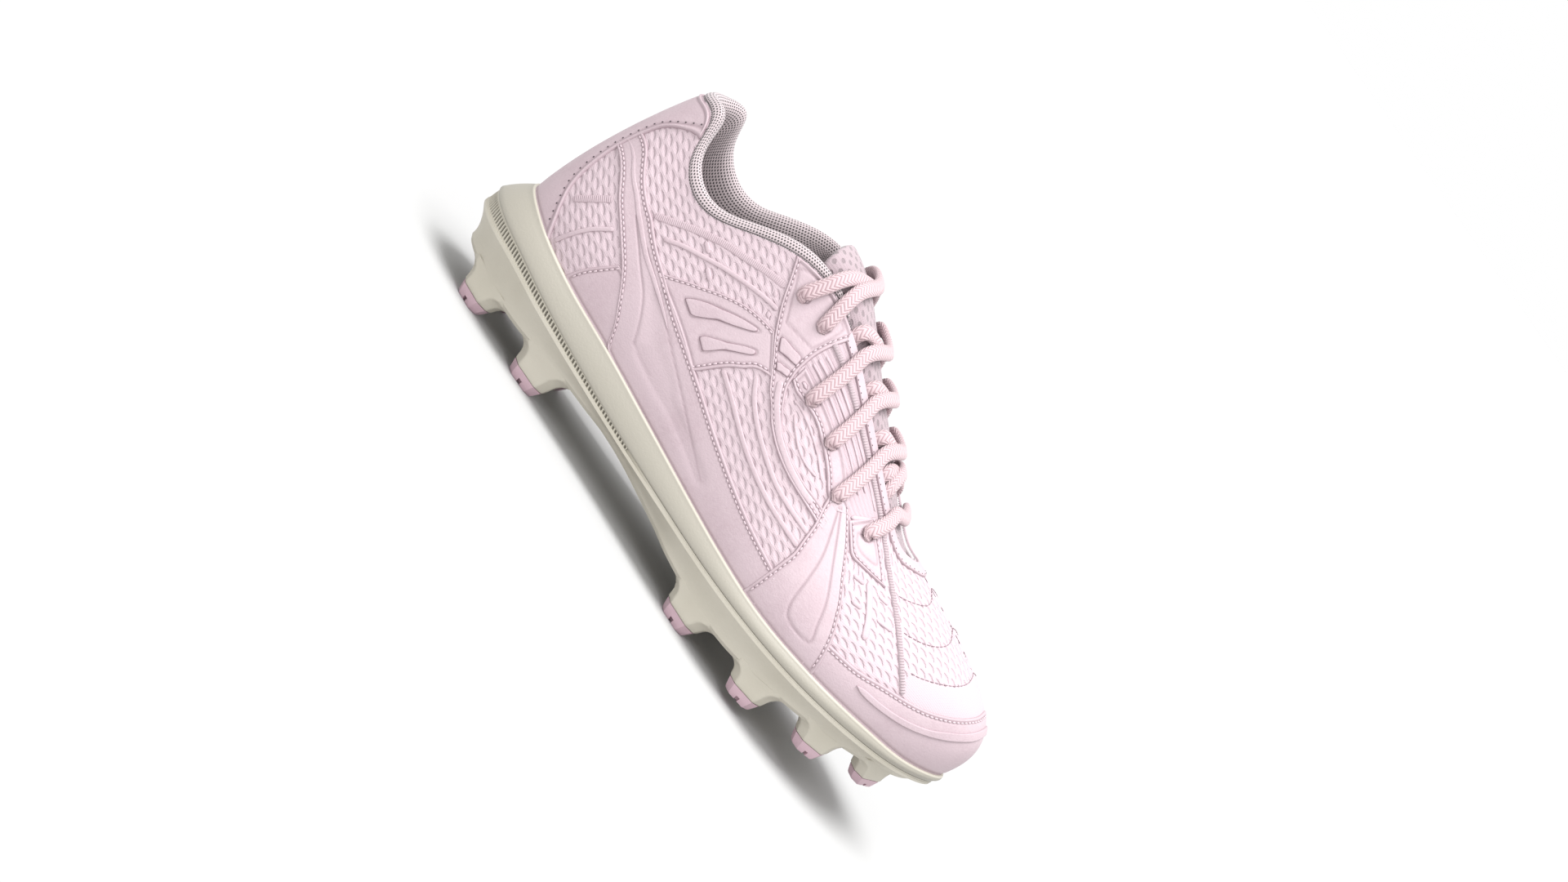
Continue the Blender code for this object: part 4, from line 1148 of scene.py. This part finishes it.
# Raised lines: tapes and ribs welded on the mesh, some of them with fine cross ribs, and the cord that runs
# along the throat and over the vamp to the toe cap.
QUARTER_BAND = ((61, 0.72), (73, 0.85), (87, 0.89), (106, 0.87), (127, 0.86))
QUARTER_LINE = ((72, 0.69), (81, 0.75), (96, 0.772), (112, 0.77), (131, 0.77))
HEEL_BAND = ((47, 0.47), (42, 0.33), (37, 0.21))
HEEL_RIB = ((58, 0.43), (53, 0.28), (50, 0.14), (48, 0.02))
LADDERS = (
    ((142, 0.54), (147, 0.49), (153, 0.455), (160, 0.43),
     (169, 0.41), (179, 0.40), (189, 0.41), (202, 0.435)),
    ((130, 0.445), (140, 0.41), (149, 0.38), (158, 0.355),
     (168, 0.34), (178, 0.335), (187, 0.34), (202, 0.36)),
)
EYE_LINES = (
    ((164, 0.60), (169, 0.575), (176, 0.555), (183, 0.56), (189, 0.58)),
    ((160, 0.625), (165, 0.635), (174, 0.635), (184, 0.625), (192, 0.60)),
)
THROAT_LINES = (
    ((157, 0.765), (176, 0.775), (196, 0.785), (212, 0.77)),
    ((158, 0.795), (176, 0.81), (197, 0.83), (215, 0.82)),
    ((160, 0.83), (184, 0.855), (208, 0.868), (226, 0.855)),
)
TICKS = (
    ((229, 0.55), (236, 0.58)), ((234, 0.46), (240, 0.485)), ((246, 0.625), (254, 0.65)),
    ((249, 0.525), (259, 0.56)), ((84.5, 0.853), (90, 0.80)), ((94.5, 0.73), (100, 0.68)),
    ((124.5, 0.82), (126.5, 0.80)), ((128, 0.74), (130, 0.72)), ((214, 0.68), (228, 0.83)),
)
WEDGE = ((238, 0.61), (241, 0.57), (245, 0.48), (247, 0.38))
CORD = (
    (158, 0.885), (169, 0.89), (188, 0.90), (206, 0.905), (220, 0.90), (231, 0.885), (240, 0.85), (248, 0.80),
    (256, 0.722), (262, 0.61), (266, 0.49), (269, 0.39), (271.5, 0.31),
)
# Paths, half width, rise and the pitch of the cross ribs.
RAISED = (
    ((QUARTER_BAND,), 1.45, 0.35, 0.75),
    ((HEEL_BAND,), 1.5, 0.4, 0.8),
    ((QUARTER_LINE, HEEL_RIB), 0.95, 0.55, 0.0),
    (LADDERS, 1.0, 0.45, 0.0),
    (EYE_LINES + THROAT_LINES, 0.5, 0.35, 0.0),
    (TICKS, 1.0, 0.6, 0.0),
    ((WEDGE,), 1.5, 0.55, 0.0),
)
THROAT_CORD = (((CORD,), 1.15, 1.35, 1.05),)


def ribbons(table):
    """The ribbons of a table on both sides of the shoe."""
    return [
        ribbon(path, half, rise, side, pitch=pitch)
        for side, _ in SIDES
        for paths, half, rise, pitch in table
        for path in paths
    ]


new_piece("raised_lines", ribbons(RAISED), leather.material, "overlay")

CORD_PINK = (0.47, 0.39, 0.415)
CORD_SHADE = (0.37, 0.30, 0.325)
cord_pink = Finish("throat cord", Roughness=0.7)
# Painted shade: the cord is darker at its foot and between its ribs.
cord_pink.feed("Base Color", cord_pink.attribute("shade").blend(rgb(CORD_SHADE), rgb(CORD_PINK)))
cord_pink.bump(cord_pink.noise(0.4), 0.08)
new_piece("throat_cord", ribbons(THROAT_CORD), cord_pink.material, "overlay")

# Seams: pink thread sewn in the groove behind each lip, each stitch a short dash that sinks at both ends,
# where a dark end stands for the shade in the hole: painted shade. The counter and the rim show the needle
# holes instead, as dark blobs of painted shade, and three arcs are sewn through the vamp's mesh.
# A stitch or hole has a length, width and height.
STITCH = (1.65, 0.75, 0.7)
STITCH_END = (0.6, 0.62, 0.45)
STITCH_PITCH = 2.15
END_SUNK = 0.1
HOLE = (0.75, 0.75, 0.5)
HOLE_PITCH = 3.3
COUNTER_SEAM = 2.4
RIM_HOLE = (0.65, 0.45, 0.4)
RIM_PITCH = 2.5
RIM_SEAM = 0.9
FINE_STITCH = (1.9, 0.4, 0.45)
FINE_PITCH = 2.2
ARC_LIFT = 0.12
LASTED = 0.03
DASH_SQUARE = 0.7
EDGE_FINE = 30
ARCS = (
    ((TOE, 0.928), (312, 0.92), (303, 0.90), (290, 0.855), (276, 0.81), (268, 0.78), (260.5, 0.75)),
    ((TOE, 0.815), (310, 0.795), (301, 0.755), (289, 0.70), (277, 0.65), (265.5, 0.612)),
    ((TOE, 0.66), (311, 0.63), (299, 0.575), (285, 0.51), (276, 0.467), (270, 0.45)),
)


def inner_edge(pairs, far, inset, side=1):
    """The path inset millimetres inside a panel's near or far edge, above the lasted margin."""
    s0, v0, s1, v1 = rails(pairs, side, np.linspace(0, len(pairs) - 1, EDGE_FINE * len(pairs)))
    width = np.linalg.norm(upper_point(s1, v1) - upper_point(s0, v0), axis=1)
    share = np.clip(inset / np.maximum(width, inset), 0.0, 0.5)
    share = 1 - share if far else share
    s, v = s0 + (s1 - s0) * share, v0 + (v1 - v0) * share
    return evenly(s[v > LASTED], v[v > LASTED])


def sew(path, lift, size, pitch, start=0.5):
    """Vertices of the stitches along a path of s and v, lift above the upper, from start pitches on."""
    s, v = path
    points = upper_skin(s, v, np.full(len(s), lift))
    run = run_of(points)
    at = np.arange(pitch * start, run[-1] - pitch / 2, pitch)
    centre = np.stack([np.interp(at, run, values) for values in points.T], 1)
    ahead = unit(np.stack([np.interp(at + 0.5, run, values) for values in points.T], 1) - centre)
    out = upper_out(np.interp(at, run, s), np.interp(at, run, v))
    axes = np.stack((ahead, unit(np.cross(out, ahead)), out), 1)
    return centre[:, None, :] + (DASH * size) @ axes


def stitches(seams):
    """All the stitches of the seams as one mesh, each a copy of the dash."""
    points = np.concatenate(seams)
    bm = bmesh.new()
    for _ in range(len(points)):
        bm.from_mesh(dash_mesh)
    sewn = meshed("sewn", bm)
    move(sewn, points)
    return sewn


bm = bmesh.new()
bmesh.ops.create_uvsphere(bm, u_segments=6, v_segments=4, radius=0.5)
bmesh.ops.rotate(bm, verts=bm.verts, matrix=Matrix.Rotation(math.pi / 2, 3, "Y"))
dash_mesh = meshed("dash", bm)
DASH = np.array([vert.co for vert in dash_mesh.vertices])
DASH[:, 0] = np.sign(DASH[:, 0]) * 0.5 * np.abs(2 * DASH[:, 0]) ** DASH_SQUARE

THREAD = (0.56, 0.45, 0.485)
thread = Finish("pink thread", Roughness=0.6, Base_Color=rgb(THREAD))
thread.bump(thread.noise(0.3), 0.05)
# The fine thread is also the painted shade of the stitch ends, dark where the thread sinks into the panel.
FINE_THREAD_AND_HOLE_SHADE = (0.29, 0.215, 0.24)
fine_thread_and_hole_shade = Finish("fine thread and hole shade", Roughness=0.7, Base_Color=rgb(FINE_THREAD_AND_HOLE_SHADE))
# Needle holes: dark blobs of painted shade.
HOLE_SHADE = (0.09, 0.07, 0.08)
hole_shade = Finish("needle hole shade", Roughness=0.9, Base_Color=rgb(HOLE_SHADE))
NEAR, FAR = False, True
SEWN_ROUND = (
    (FOXING, FOXING_LIFT), (STRAP, STRAP_LIFT), (STAY_BAND, BAND_LIFT), (SADDLE, SADDLE_LIFT),
    (STAY_POINT, FRONT_LIFT),
)
SEWN_NEAR = ((STAY_FRONT, FRONT_LIFT), (HEEL_SIDE, HEEL_SIDE_LIFT))
edges = [(*row, edge) for row in SEWN_ROUND for edge in (NEAR, FAR)] + [(*row, NEAR) for row in SEWN_NEAR]
paths = [(inner_edge(CAP, FAR, SEAM), CAP_LIFT)]
paths += [(inner_edge(pairs, edge, SEAM, side), lift) for side, _ in SIDES for pairs, lift, edge in edges]
seams = [sew(path, lift, STITCH, STITCH_PITCH) for path, lift in paths]
stitch_end_shade = [sew(path, lift - END_SUNK, STITCH_END, STITCH_PITCH, 1.0) for path, lift in paths]
arcs = [sew(line(arc, side), ARC_LIFT, FINE_STITCH, FINE_PITCH) for side, _ in SIDES for arc in ARCS]
holes = [sew(inner_edge(COUNTER, edge, COUNTER_SEAM), COUNTER_LIFT, HOLE, HOLE_PITCH) for edge in (NEAR, FAR)]
holes += [sew(inner_edge(RIM, NEAR, RIM_SEAM), RIM_LIFT, RIM_HOLE, RIM_PITCH)]
new_piece("stitches", [stitches(seams)], thread.material, "overlay")
new_piece("stitch_end_shade", [stitches(stitch_end_shade)], fine_thread_and_hole_shade.material, "overlay")
new_piece("vamp_arcs", [stitches(arcs)], fine_thread_and_hole_shade.material, "overlay")
new_piece("needle_holes", [stitches(holes)], hole_shade.material, "overlay")
bpy.data.meshes.remove(dash_mesh)

# Collar: a roll of foam under grey knit along the edge of the opening, thick round the ankle and thin
# beside the throat, with its lining sewn down inside.
COLLAR_PROFILE = np.array((
    (-26.0, 2.7), (-26.0, 3.7), (-16.0, 5.6), (-6.0, 6.6), (0.5, 6.6), (3.6, 5.2), (4.8, 2.8),
    (4.0, 0.4), (1.8, -0.4), (0.5, 0.0), (0.5, 2.7), (-8.0, 2.7), (-17.0, 2.7),
))
COLLAR_STATION = PERIOD / CAD_STEPS
# Stations along the edge, and how much of the profile's roll, padding and reach each has.
COLLAR = np.array((
    (0, 1.0, 1.0, 1.0),
    (10, 1.0, 1.0, 1.0),
    (12, 1.0, 0.7, 0.7),
    (14, 0.95, 0.4, 0.1),
    (16, 0.9, 0.4, 0.05),
    (17, 0.5, 0.3, 0.05),
))
COLLAR_COLUMNS = 380
COLLAR_ROWS = 44
BELOW_EDGE = 0.98

# The roll's section lies halfway between the polygon of its profile and the smooth curve through it.
knots = np.arange(len(COLLAR_PROFILE) + 1.0)
fine = np.arange(COLLAR_ROWS) * knots[-1] / COLLAR_ROWS
straight = [np.interp(fine, knots, np.append(values, values[0])) for values in COLLAR_PROFILE.T]
profile = (closed_spline(knots[:-1], knots[-1], COLLAR_PROFILE, fine) + np.stack(straight, 1)) / 2


def collar_place(column, row):
    reach_s = COLLAR[-1, 0] * COLLAR_STATION
    s = np.clip(2 * (column - 1) / (COLLAR_COLUMNS - 2) - 1, -1.0, 1.0) * reach_s
    roll, pad, reach = (np.interp(np.abs(s) / COLLAR_STATION, COLLAR[:, 0], COLLAR[:, k]) for k in (1, 2, 3))
    rise, depth = profile[row % COLLAR_ROWS].T
    seat = COLLAR_PROFILE[0, 1]
    rib = np.linalg.norm(upper_point(s, 1.0) - upper_point(s, BELOW_EDGE), axis=1) / (1.0 - BELOW_EDGE)
    lifted = np.where(rise > GAP, GAP + (rise - GAP) * roll, np.where(rise < 0, rise * reach, rise))
    sunk = np.where(depth > seat, seat + (depth - seat) * pad, depth)
    points = upper_skin(s, 1.0 + lifted / rib, -sunk)
    for end in (0, COLLAR_COLUMNS):
        points[column == end] = points[column == abs(end - 1)].mean(0)
    run = run_of(profile)
    edge_s = np.linspace(-reach_s, reach_s, COLLAR_COLUMNS)
    along = np.interp(s, edge_s, run_of(opening_edge(edge_s)))
    return points, np.stack((along, np.append(run, run[-1] + 1.0)[row]), 1)


ROLL = (0.50, 0.425, 0.44)
ROLL_PIT_SHADE = (0.06, 0.053, 0.055)
roll_cloth = Finish("collar knit", Roughness=0.85, Sheen_Weight=0.3)
loops = knit(roll_cloth, KNIT)
# Painted shade: the knit's pits are painted dark.
roll_cloth.feed("Base Color", loops.blend(rgb(ROLL_PIT_SHADE), rgb(ROLL)))
roll_cloth.bump(loops + roll_cloth.noise(0.5) * 0.4, 0.22)
collar_mesh = weld(bent(collar_place, COLLAR_COLUMNS, COLLAR_ROWS))
collar = new_piece("collar_roll", [collar_mesh], roll_cloth.material, "lining", "collar")

# Tongue: a padded strip of perforated pink mesh that lies in the throat under the laces and is sewn to the
# vamp at its foot.
THROAT_SHARE = 0.55
THROAT_CROWN = 0.36
MARGIN = 0.2
TONGUE_TOP = 136.0
TONGUE_FOOT = 9.0
TONGUE_WIDTH = 0.95
TONGUE_FLAT = 0.4
TONGUE_DEPTH = 0.4
TONGUE_CLEAR = 0.9
TONGUE_TUCK = 3.4
TUCK_END = 192.0
TUCK_RUN = 22.0
FOOT_DIP = 270.0
FOOT_RUN = 30.0
TONGUE_THICK = 3.5
TONGUE_ROUND = 2.5
TONGUE_LONG = 175.0
TONGUE_BROAD = 60.0
TONGUE_CHART = (TONGUE_LONG, 62.0)
TONGUE_COLUMNS = 180
TONGUE_ROWS = 64


def instep_point(s, q):
    """The form under the laces. Across it q runs up the lateral wall, over the throat and down again."""
    s, q = np.broadcast_arrays(np.asarray(s, float), np.asarray(q, float))
    share = np.maximum((np.abs(q) - THROAT_SHARE) / (1 - THROAT_SHARE), 0.0)
    side = np.where(q < 0, 1.0, -1.0)
    wall = upper_point(side * s, 1.0 - MARGIN * share)
    left, right = upper_point(s, 1.0), upper_point(-s, 1.0)
    lift_left = unit(left - upper_point(s, BELOW_EDGE))
    lift_right = unit(right - upper_point(-s, BELOW_EDGE))
    reach = THROAT_CROWN * np.linalg.norm(right - left, axis=-1, keepdims=True)
    t = np.clip((q / THROAT_SHARE + 1) / 2, 0.0, 1.0)[..., None]
    arch = cubic(left, left + reach * lift_left, right + reach * lift_right, right, t)
    return np.where(np.abs(q)[..., None] > THROAT_SHARE, wall, arch)


def instep_out(s, q):
    return outward(instep_point, s, q)


def tongue_face(outer):
    """Where the grid goes that makes the tongue's outer or inner face."""

    def place(column, row):
        a, b = column / TONGUE_COLUMNS, row / TONGUE_ROWS
        s = TONGUE_TOP + a * (TOE - TONGUE_FOOT - TONGUE_TOP)
        q = TONGUE_WIDTH * (2 * b - 1)
        under = fade(np.abs(q) / THROAT_SHARE, TONGUE_FLAT, 1.0)
        under = np.maximum(under, np.clip((s - FOOT_DIP) / FOOT_RUN, 0.0, 1.0))
        tuck = TONGUE_TUCK * np.clip((TUCK_END - s) / TUCK_RUN, 0.0, 1.0)
        depth = TONGUE_DEPTH + (WALL + TONGUE_CLEAR + tuck - TONGUE_DEPTH) * under
        edge = np.minimum(np.minimum(b, 1 - b) * TONGUE_BROAD, np.minimum(a, 1 - a) * TONGUE_LONG)
        half = TONGUE_THICK / 2 * np.sqrt(1 - (1 - np.clip(edge / TONGUE_ROUND, 0.0, 1.0)) ** 2)
        lift = -depth - TONGUE_THICK / 2 + (half if outer else -half)
        points = instep_point(s, q) + instep_out(s, q) * lift[:, None]
        return points, np.stack((a, b), 1) * TONGUE_CHART

    return place


# The tongue's colours are darkened as painted shade, as it lies low in the throat under the laces; its
# perforations are painted dark as shade.
TONGUE_PINK_SHADED = (0.42, 0.335, 0.362)
TONGUE_DEEP_SHADED = (0.31, 0.237, 0.262)
TONGUE_HOLE_SHADE = (0.25, 0.20, 0.215)
TONGUE_CELL = (6.0, 2.4)
HOLE_LENS = (16.0, 9.0)
TONGUE_YARN = 0.9
tongue_pink = Finish("tongue mesh", Roughness=0.8, Sheen_Weight=0.2)
u, w = staggered(tongue_pink.along / TONGUE_CELL[0], tongue_pink.across / TONGUE_CELL[1])
solid = (u * u * HOLE_LENS[0] + w * w * HOLE_LENS[1]).ramp(0.35, 1.1)
yarn = (tongue_pink.along / TONGUE_YARN).wave() * (tongue_pink.across / TONGUE_YARN).wave()
cloth = (yarn * 0.5 + tongue_pink.noise(0.5) * 0.4).blend(rgb(TONGUE_PINK_SHADED), rgb(TONGUE_DEEP_SHADED))
tongue_pink.feed("Base Color", solid.blend(rgb(TONGUE_HOLE_SHADE), cloth))
tongue_pink.bump(solid - yarn * 0.3 + tongue_pink.noise(0.4) * 0.3, 0.25)

faces = [bent(tongue_face(outer), TONGUE_COLUMNS, TONGUE_ROWS) for outer in (True, False)]
tongue = new_piece("tongue_pad", faces, tongue_pink.material, "mesh", "tongue")
weld(tongue.data)

# Lace: one flat oval braid. From each eyelet a strand rises over the eyestay, crosses the tongue and goes
# under the far side to the next eyelet; a bar joins the lowest two and the ends are tucked in at the top.
LACE_WIDTH = 6.2
LACE_THICK = 3.2
LACE_GIRTH = 14.0
LACE_SQUARE = 0.8
LACE_SIDES = 20
LACE_STEP = 0.45
LACE_FINE = 400
LACE_LIFT = 0.9 + LACE_THICK / 2
BRAID = 1.8
BRAID_WIDE = 2.8
BRAID_LEAN = 2.4
BRAID_TURN = 1.3
BRAID_RELIEF = 0.018


def eyelet_share(v):
    """Where an eyelet at v lies in the shares of instep_point, on the lateral side."""
    return -(THROAT_SHARE + (1 - THROAT_SHARE) * (1 - v) / MARGIN)


def strand(places, side):
    """A strand through places (s, q, lift), with rounded edges and the braid's chevrons in its surface."""
    places = np.array(places, float)
    knots = np.arange(len(places), dtype=float)
    fine = np.linspace(0, len(places) - 1, LACE_FINE)
    s, q, lift = (smooth(fine, knots, values) for values in places.T)
    run = run_of(instep_point(s, side * q) + instep_out(s, side * q) * lift[:, None])
    count = max(8, int(run[-1] / LACE_STEP))
    at = np.linspace(0.0, run[-1], count + 1)
    s, q, lift = (np.interp(at, run, values) for values in (s, q, lift))
    out = instep_out(s, side * q)
    base = instep_point(s, side * q)
    path = base + out * lift[:, None]
    ahead = unit(np.gradient(path, axis=0))
    flank = unit(np.cross(unit(np.gradient(base, axis=0)), out))
    rise = unit(np.cross(flank, ahead))

    def place(column, row):
        turn = 2 * np.pi * row / LACE_SIDES
        across = np.abs(np.mod(2 * row / LACE_SIDES, 1.0) - 0.5) * 2
        swell = 1 + BRAID_RELIEF * np.cos(2 * np.pi * (at[column] / BRAID + BRAID_TURN * across))
        oval = np.stack((np.cos(turn), np.sin(turn)))
        oval = np.sign(oval) * np.abs(oval) ** LACE_SQUARE * swell
        wide, tall = oval[..., None] * np.array((LACE_WIDTH, LACE_THICK))[:, None, None] / 2
        points = path[column] + flank[column] * wide + rise[column] * tall
        return points, np.stack((at[column], LACE_GIRTH * row / LACE_SIDES), 1)

    return weld(bent(place, count, LACE_SIDES))


LACE_PINK = (0.545, 0.408, 0.43)
LACE_GROOVE_SHADE = (0.34, 0.228, 0.25)
lace = Finish("lace braid", Roughness=0.75, Sheen_Weight=0.25)
fold = (lace.across / BRAID_WIDE).fract() - 0.5
chevron = (lace.along / BRAID + fold.math("ABSOLUTE", fold) * BRAID_LEAN).wave()
# Painted shade: the troughs of the chevrons, the grooves of the braid, are darker.
lace.feed("Base Color", chevron.ramp(0.0, 0.45).blend(rgb(LACE_GROOVE_SHADE), rgb(LACE_PINK)))
lace.bump(chevron + lace.noise(0.35) * 0.5, 0.2)

# Strands cross the tongue's middle at the crowns. Near an eyelet a strand's places are steps in s and q from
# it and a lift, and where it dips under the far side q and a lift.
CROWNS = (147, 159, 183, 200, 220, 254)
UNDER = 0.7 * THROAT_SHARE
OVER = ((1, 1.6), (-1, -0.4))
OUT_OF_EYELET = ((0.5, -0.03, -3.0), (0.0, 0.0, -0.6), (-0.2, 0.04, LACE_LIFT))
INTO_EYELET = ((0.0, 0.04, LACE_LIFT), (0.0, 0.0, -0.6), (-0.5, -0.03, -3.0))
DIP = ((THROAT_SHARE, -2.6), (0.68, -3.6))
DIP_STEPS = (2, 3)
DIP_LIFT = LACE_LIFT - 1.0
LOW_CROSSING = (231.0, 229.0, 224.0)
LOW_STEPS = (1, 2)
LOW_LIFT = 0.8
LOW_CROWN = 1.6


def dip(s, lift, steps):
    """The end of a strand that goes from s under the far side of the throat."""
    return [(s, UNDER, lift)] + [(s - step, q, low) for step, (q, low) in zip(steps, DIP)]


def mirrored(places):
    """The same places on the other side of the throat, in the other order."""
    return [(s, -q, lift) for s, q, lift in places[::-1]]


ends = [(s, eyelet_share(v)) for s, v in EYELETS]
rises = [[(s + ds, q + dq, lift) for ds, dq, lift in OUT_OF_EYELET] for s, q in ends]
last = len(EYELETS) - 1
for row in range(1, last + 1):
    (s, q), crown = ends[row], CROWNS[row]
    strands = []
    for side, over in OVER:
        start = rises[row]
        if row == 1:
            far_s, far_q = ends[0]
            middle = [
                ((s + crown) / 2, q / 2, LACE_LIFT + over / 2),
                (crown, 0.0, LACE_LIFT + over),
                ((far_s + crown) / 2, -far_q / 2, LACE_LIFT + over / 2),
            ]
            finish = [(far_s + ds, -far_q - dq, lift) for ds, dq, lift in INTO_EYELET]
        elif row == last:
            start = mirrored(dip(LOW_CROSSING[0], LOW_LIFT, [-step for step in LOW_STEPS]))
            middle = [(LOW_CROSSING[1], 0.0, LOW_CROWN + over)]
            finish = dip(LOW_CROSSING[2], LOW_LIFT, LOW_STEPS)
        else:
            middle = [((s + crown) / 2, q / 2, LACE_LIFT), (crown, 0.0, LACE_LIFT + over)]
            finish = dip((crown + CROWNS[row - 1]) / 2, DIP_LIFT, DIP_STEPS)
        strands.append(strand(start + middle + finish, side))
    new_piece(f"lace_pair_{row}", strands, lace.material, "lace", f"lace_crossing_{row}")
half_bar = rises[last] + [((s + crown) / 2, q / 2, LACE_LIFT)]
bar = half_bar + [(crown, 0.0, LACE_LIFT)] + mirrored(half_bar)
new_piece("lace_bar_strand", [strand(bar, 1)], lace.material, "lace", "lace_bar")

# Stage: a plain pale floor under soft studio light, and a camera at the photograph's angle, rolled so that
# the standing shoe points its toe down to the right.
FLOOR_HALF = 60.0
FLOOR_GREY = (0.46, 0.46, 0.46)
bm = bmesh.new()
bmesh.ops.create_grid(bm, x_segments=1, y_segments=1, size=FLOOR_HALF)
floor_mesh = meshed("floor", bm)
floor_mesh.materials.append(Finish("floor", Roughness=0.9, Base_Color=rgb(FLOOR_GREY)).material)
floor = linked("floor", floor_mesh)

world = bpy.data.worlds.new("studio")
world.use_nodes = True
sky = world.node_tree.nodes["Background"].inputs
sky["Color"].default_value = rgb((1.0, 1.0, 1.0))
sky["Strength"].default_value = 1.0
bpy.context.scene.world = world
bpy.context.scene.view_settings.view_transform = "Standard"


def faced(obj, back, at, up=UP):
    """Puts an object at a place in metres, looking away from back."""
    right = unit(np.cross(up, back))
    turn = Matrix(np.stack((right, np.cross(back, right), back), 1).tolist()).to_4x4()
    obj.matrix_world = Matrix.Translation(at) @ turn


# One broad overhead softbox, far enough away to light the floor evenly.
KEY_FROM = unit(np.array((0.05, -0.16, 0.98)))
KEY_POWER = 3.75
KEY_SPREAD = math.radians(35)
key = bpy.data.lights.new("softbox", "SUN")
key.energy = KEY_POWER
key.angle = KEY_SPREAD
faced(linked("softbox", key), KEY_FROM, (0.0, 0.0, 0.0))

# A smaller one stands in front of the lateral side, over the ball of the foot.
FILL_AT = np.array((0.065, -0.29, 0.25))
FILL_AIM = np.array((0.05, -0.04, 0.05))
FILL_POWER = 0.38
FILL_SIZE = 0.15
fill = bpy.data.lights.new("front softbox", "AREA")
fill.energy = FILL_POWER
fill.size = FILL_SIZE
faced(linked("front softbox", fill), unit(FILL_AT - FILL_AIM), FILL_AT)

AZIMUTH, ELEVATION, CAMERA_ROLL = np.radians((4.0, 10.5, 55.0))
AIM = np.array((140.0, 0.0, 55.0))
AIM_PIXEL = (925.9, 556.6)
DISTANCE = 1500.0
PHOTO_WIDE = 1920
PHOTO_TALL = 1080
PIXELS_PER_MM = 3.225
SENSOR = 36.0
level = np.array((math.cos(AZIMUTH), math.sin(AZIMUTH), 0.0))
ahead = np.cross(UP, level) * math.cos(ELEVATION) - UP * math.sin(ELEVATION)
up = np.cross(level, ahead) * math.cos(CAMERA_ROLL) - level * math.sin(CAMERA_ROLL)
camera_data = bpy.data.cameras.new("camera")
camera_data.sensor_width = SENSOR
camera_data.lens = SENSOR * DISTANCE * PIXELS_PER_MM / PHOTO_WIDE
camera_data.shift_x = (PHOTO_WIDE / 2 - AIM_PIXEL[0]) / PHOTO_WIDE
camera_data.shift_y = (AIM_PIXEL[1] - PHOTO_TALL / 2) / PHOTO_WIDE
camera = linked("camera", camera_data)
faced(camera, -ahead, (AIM - DISTANCE * ahead) * MM + SHIFT, up)
bpy.context.scene.camera = camera
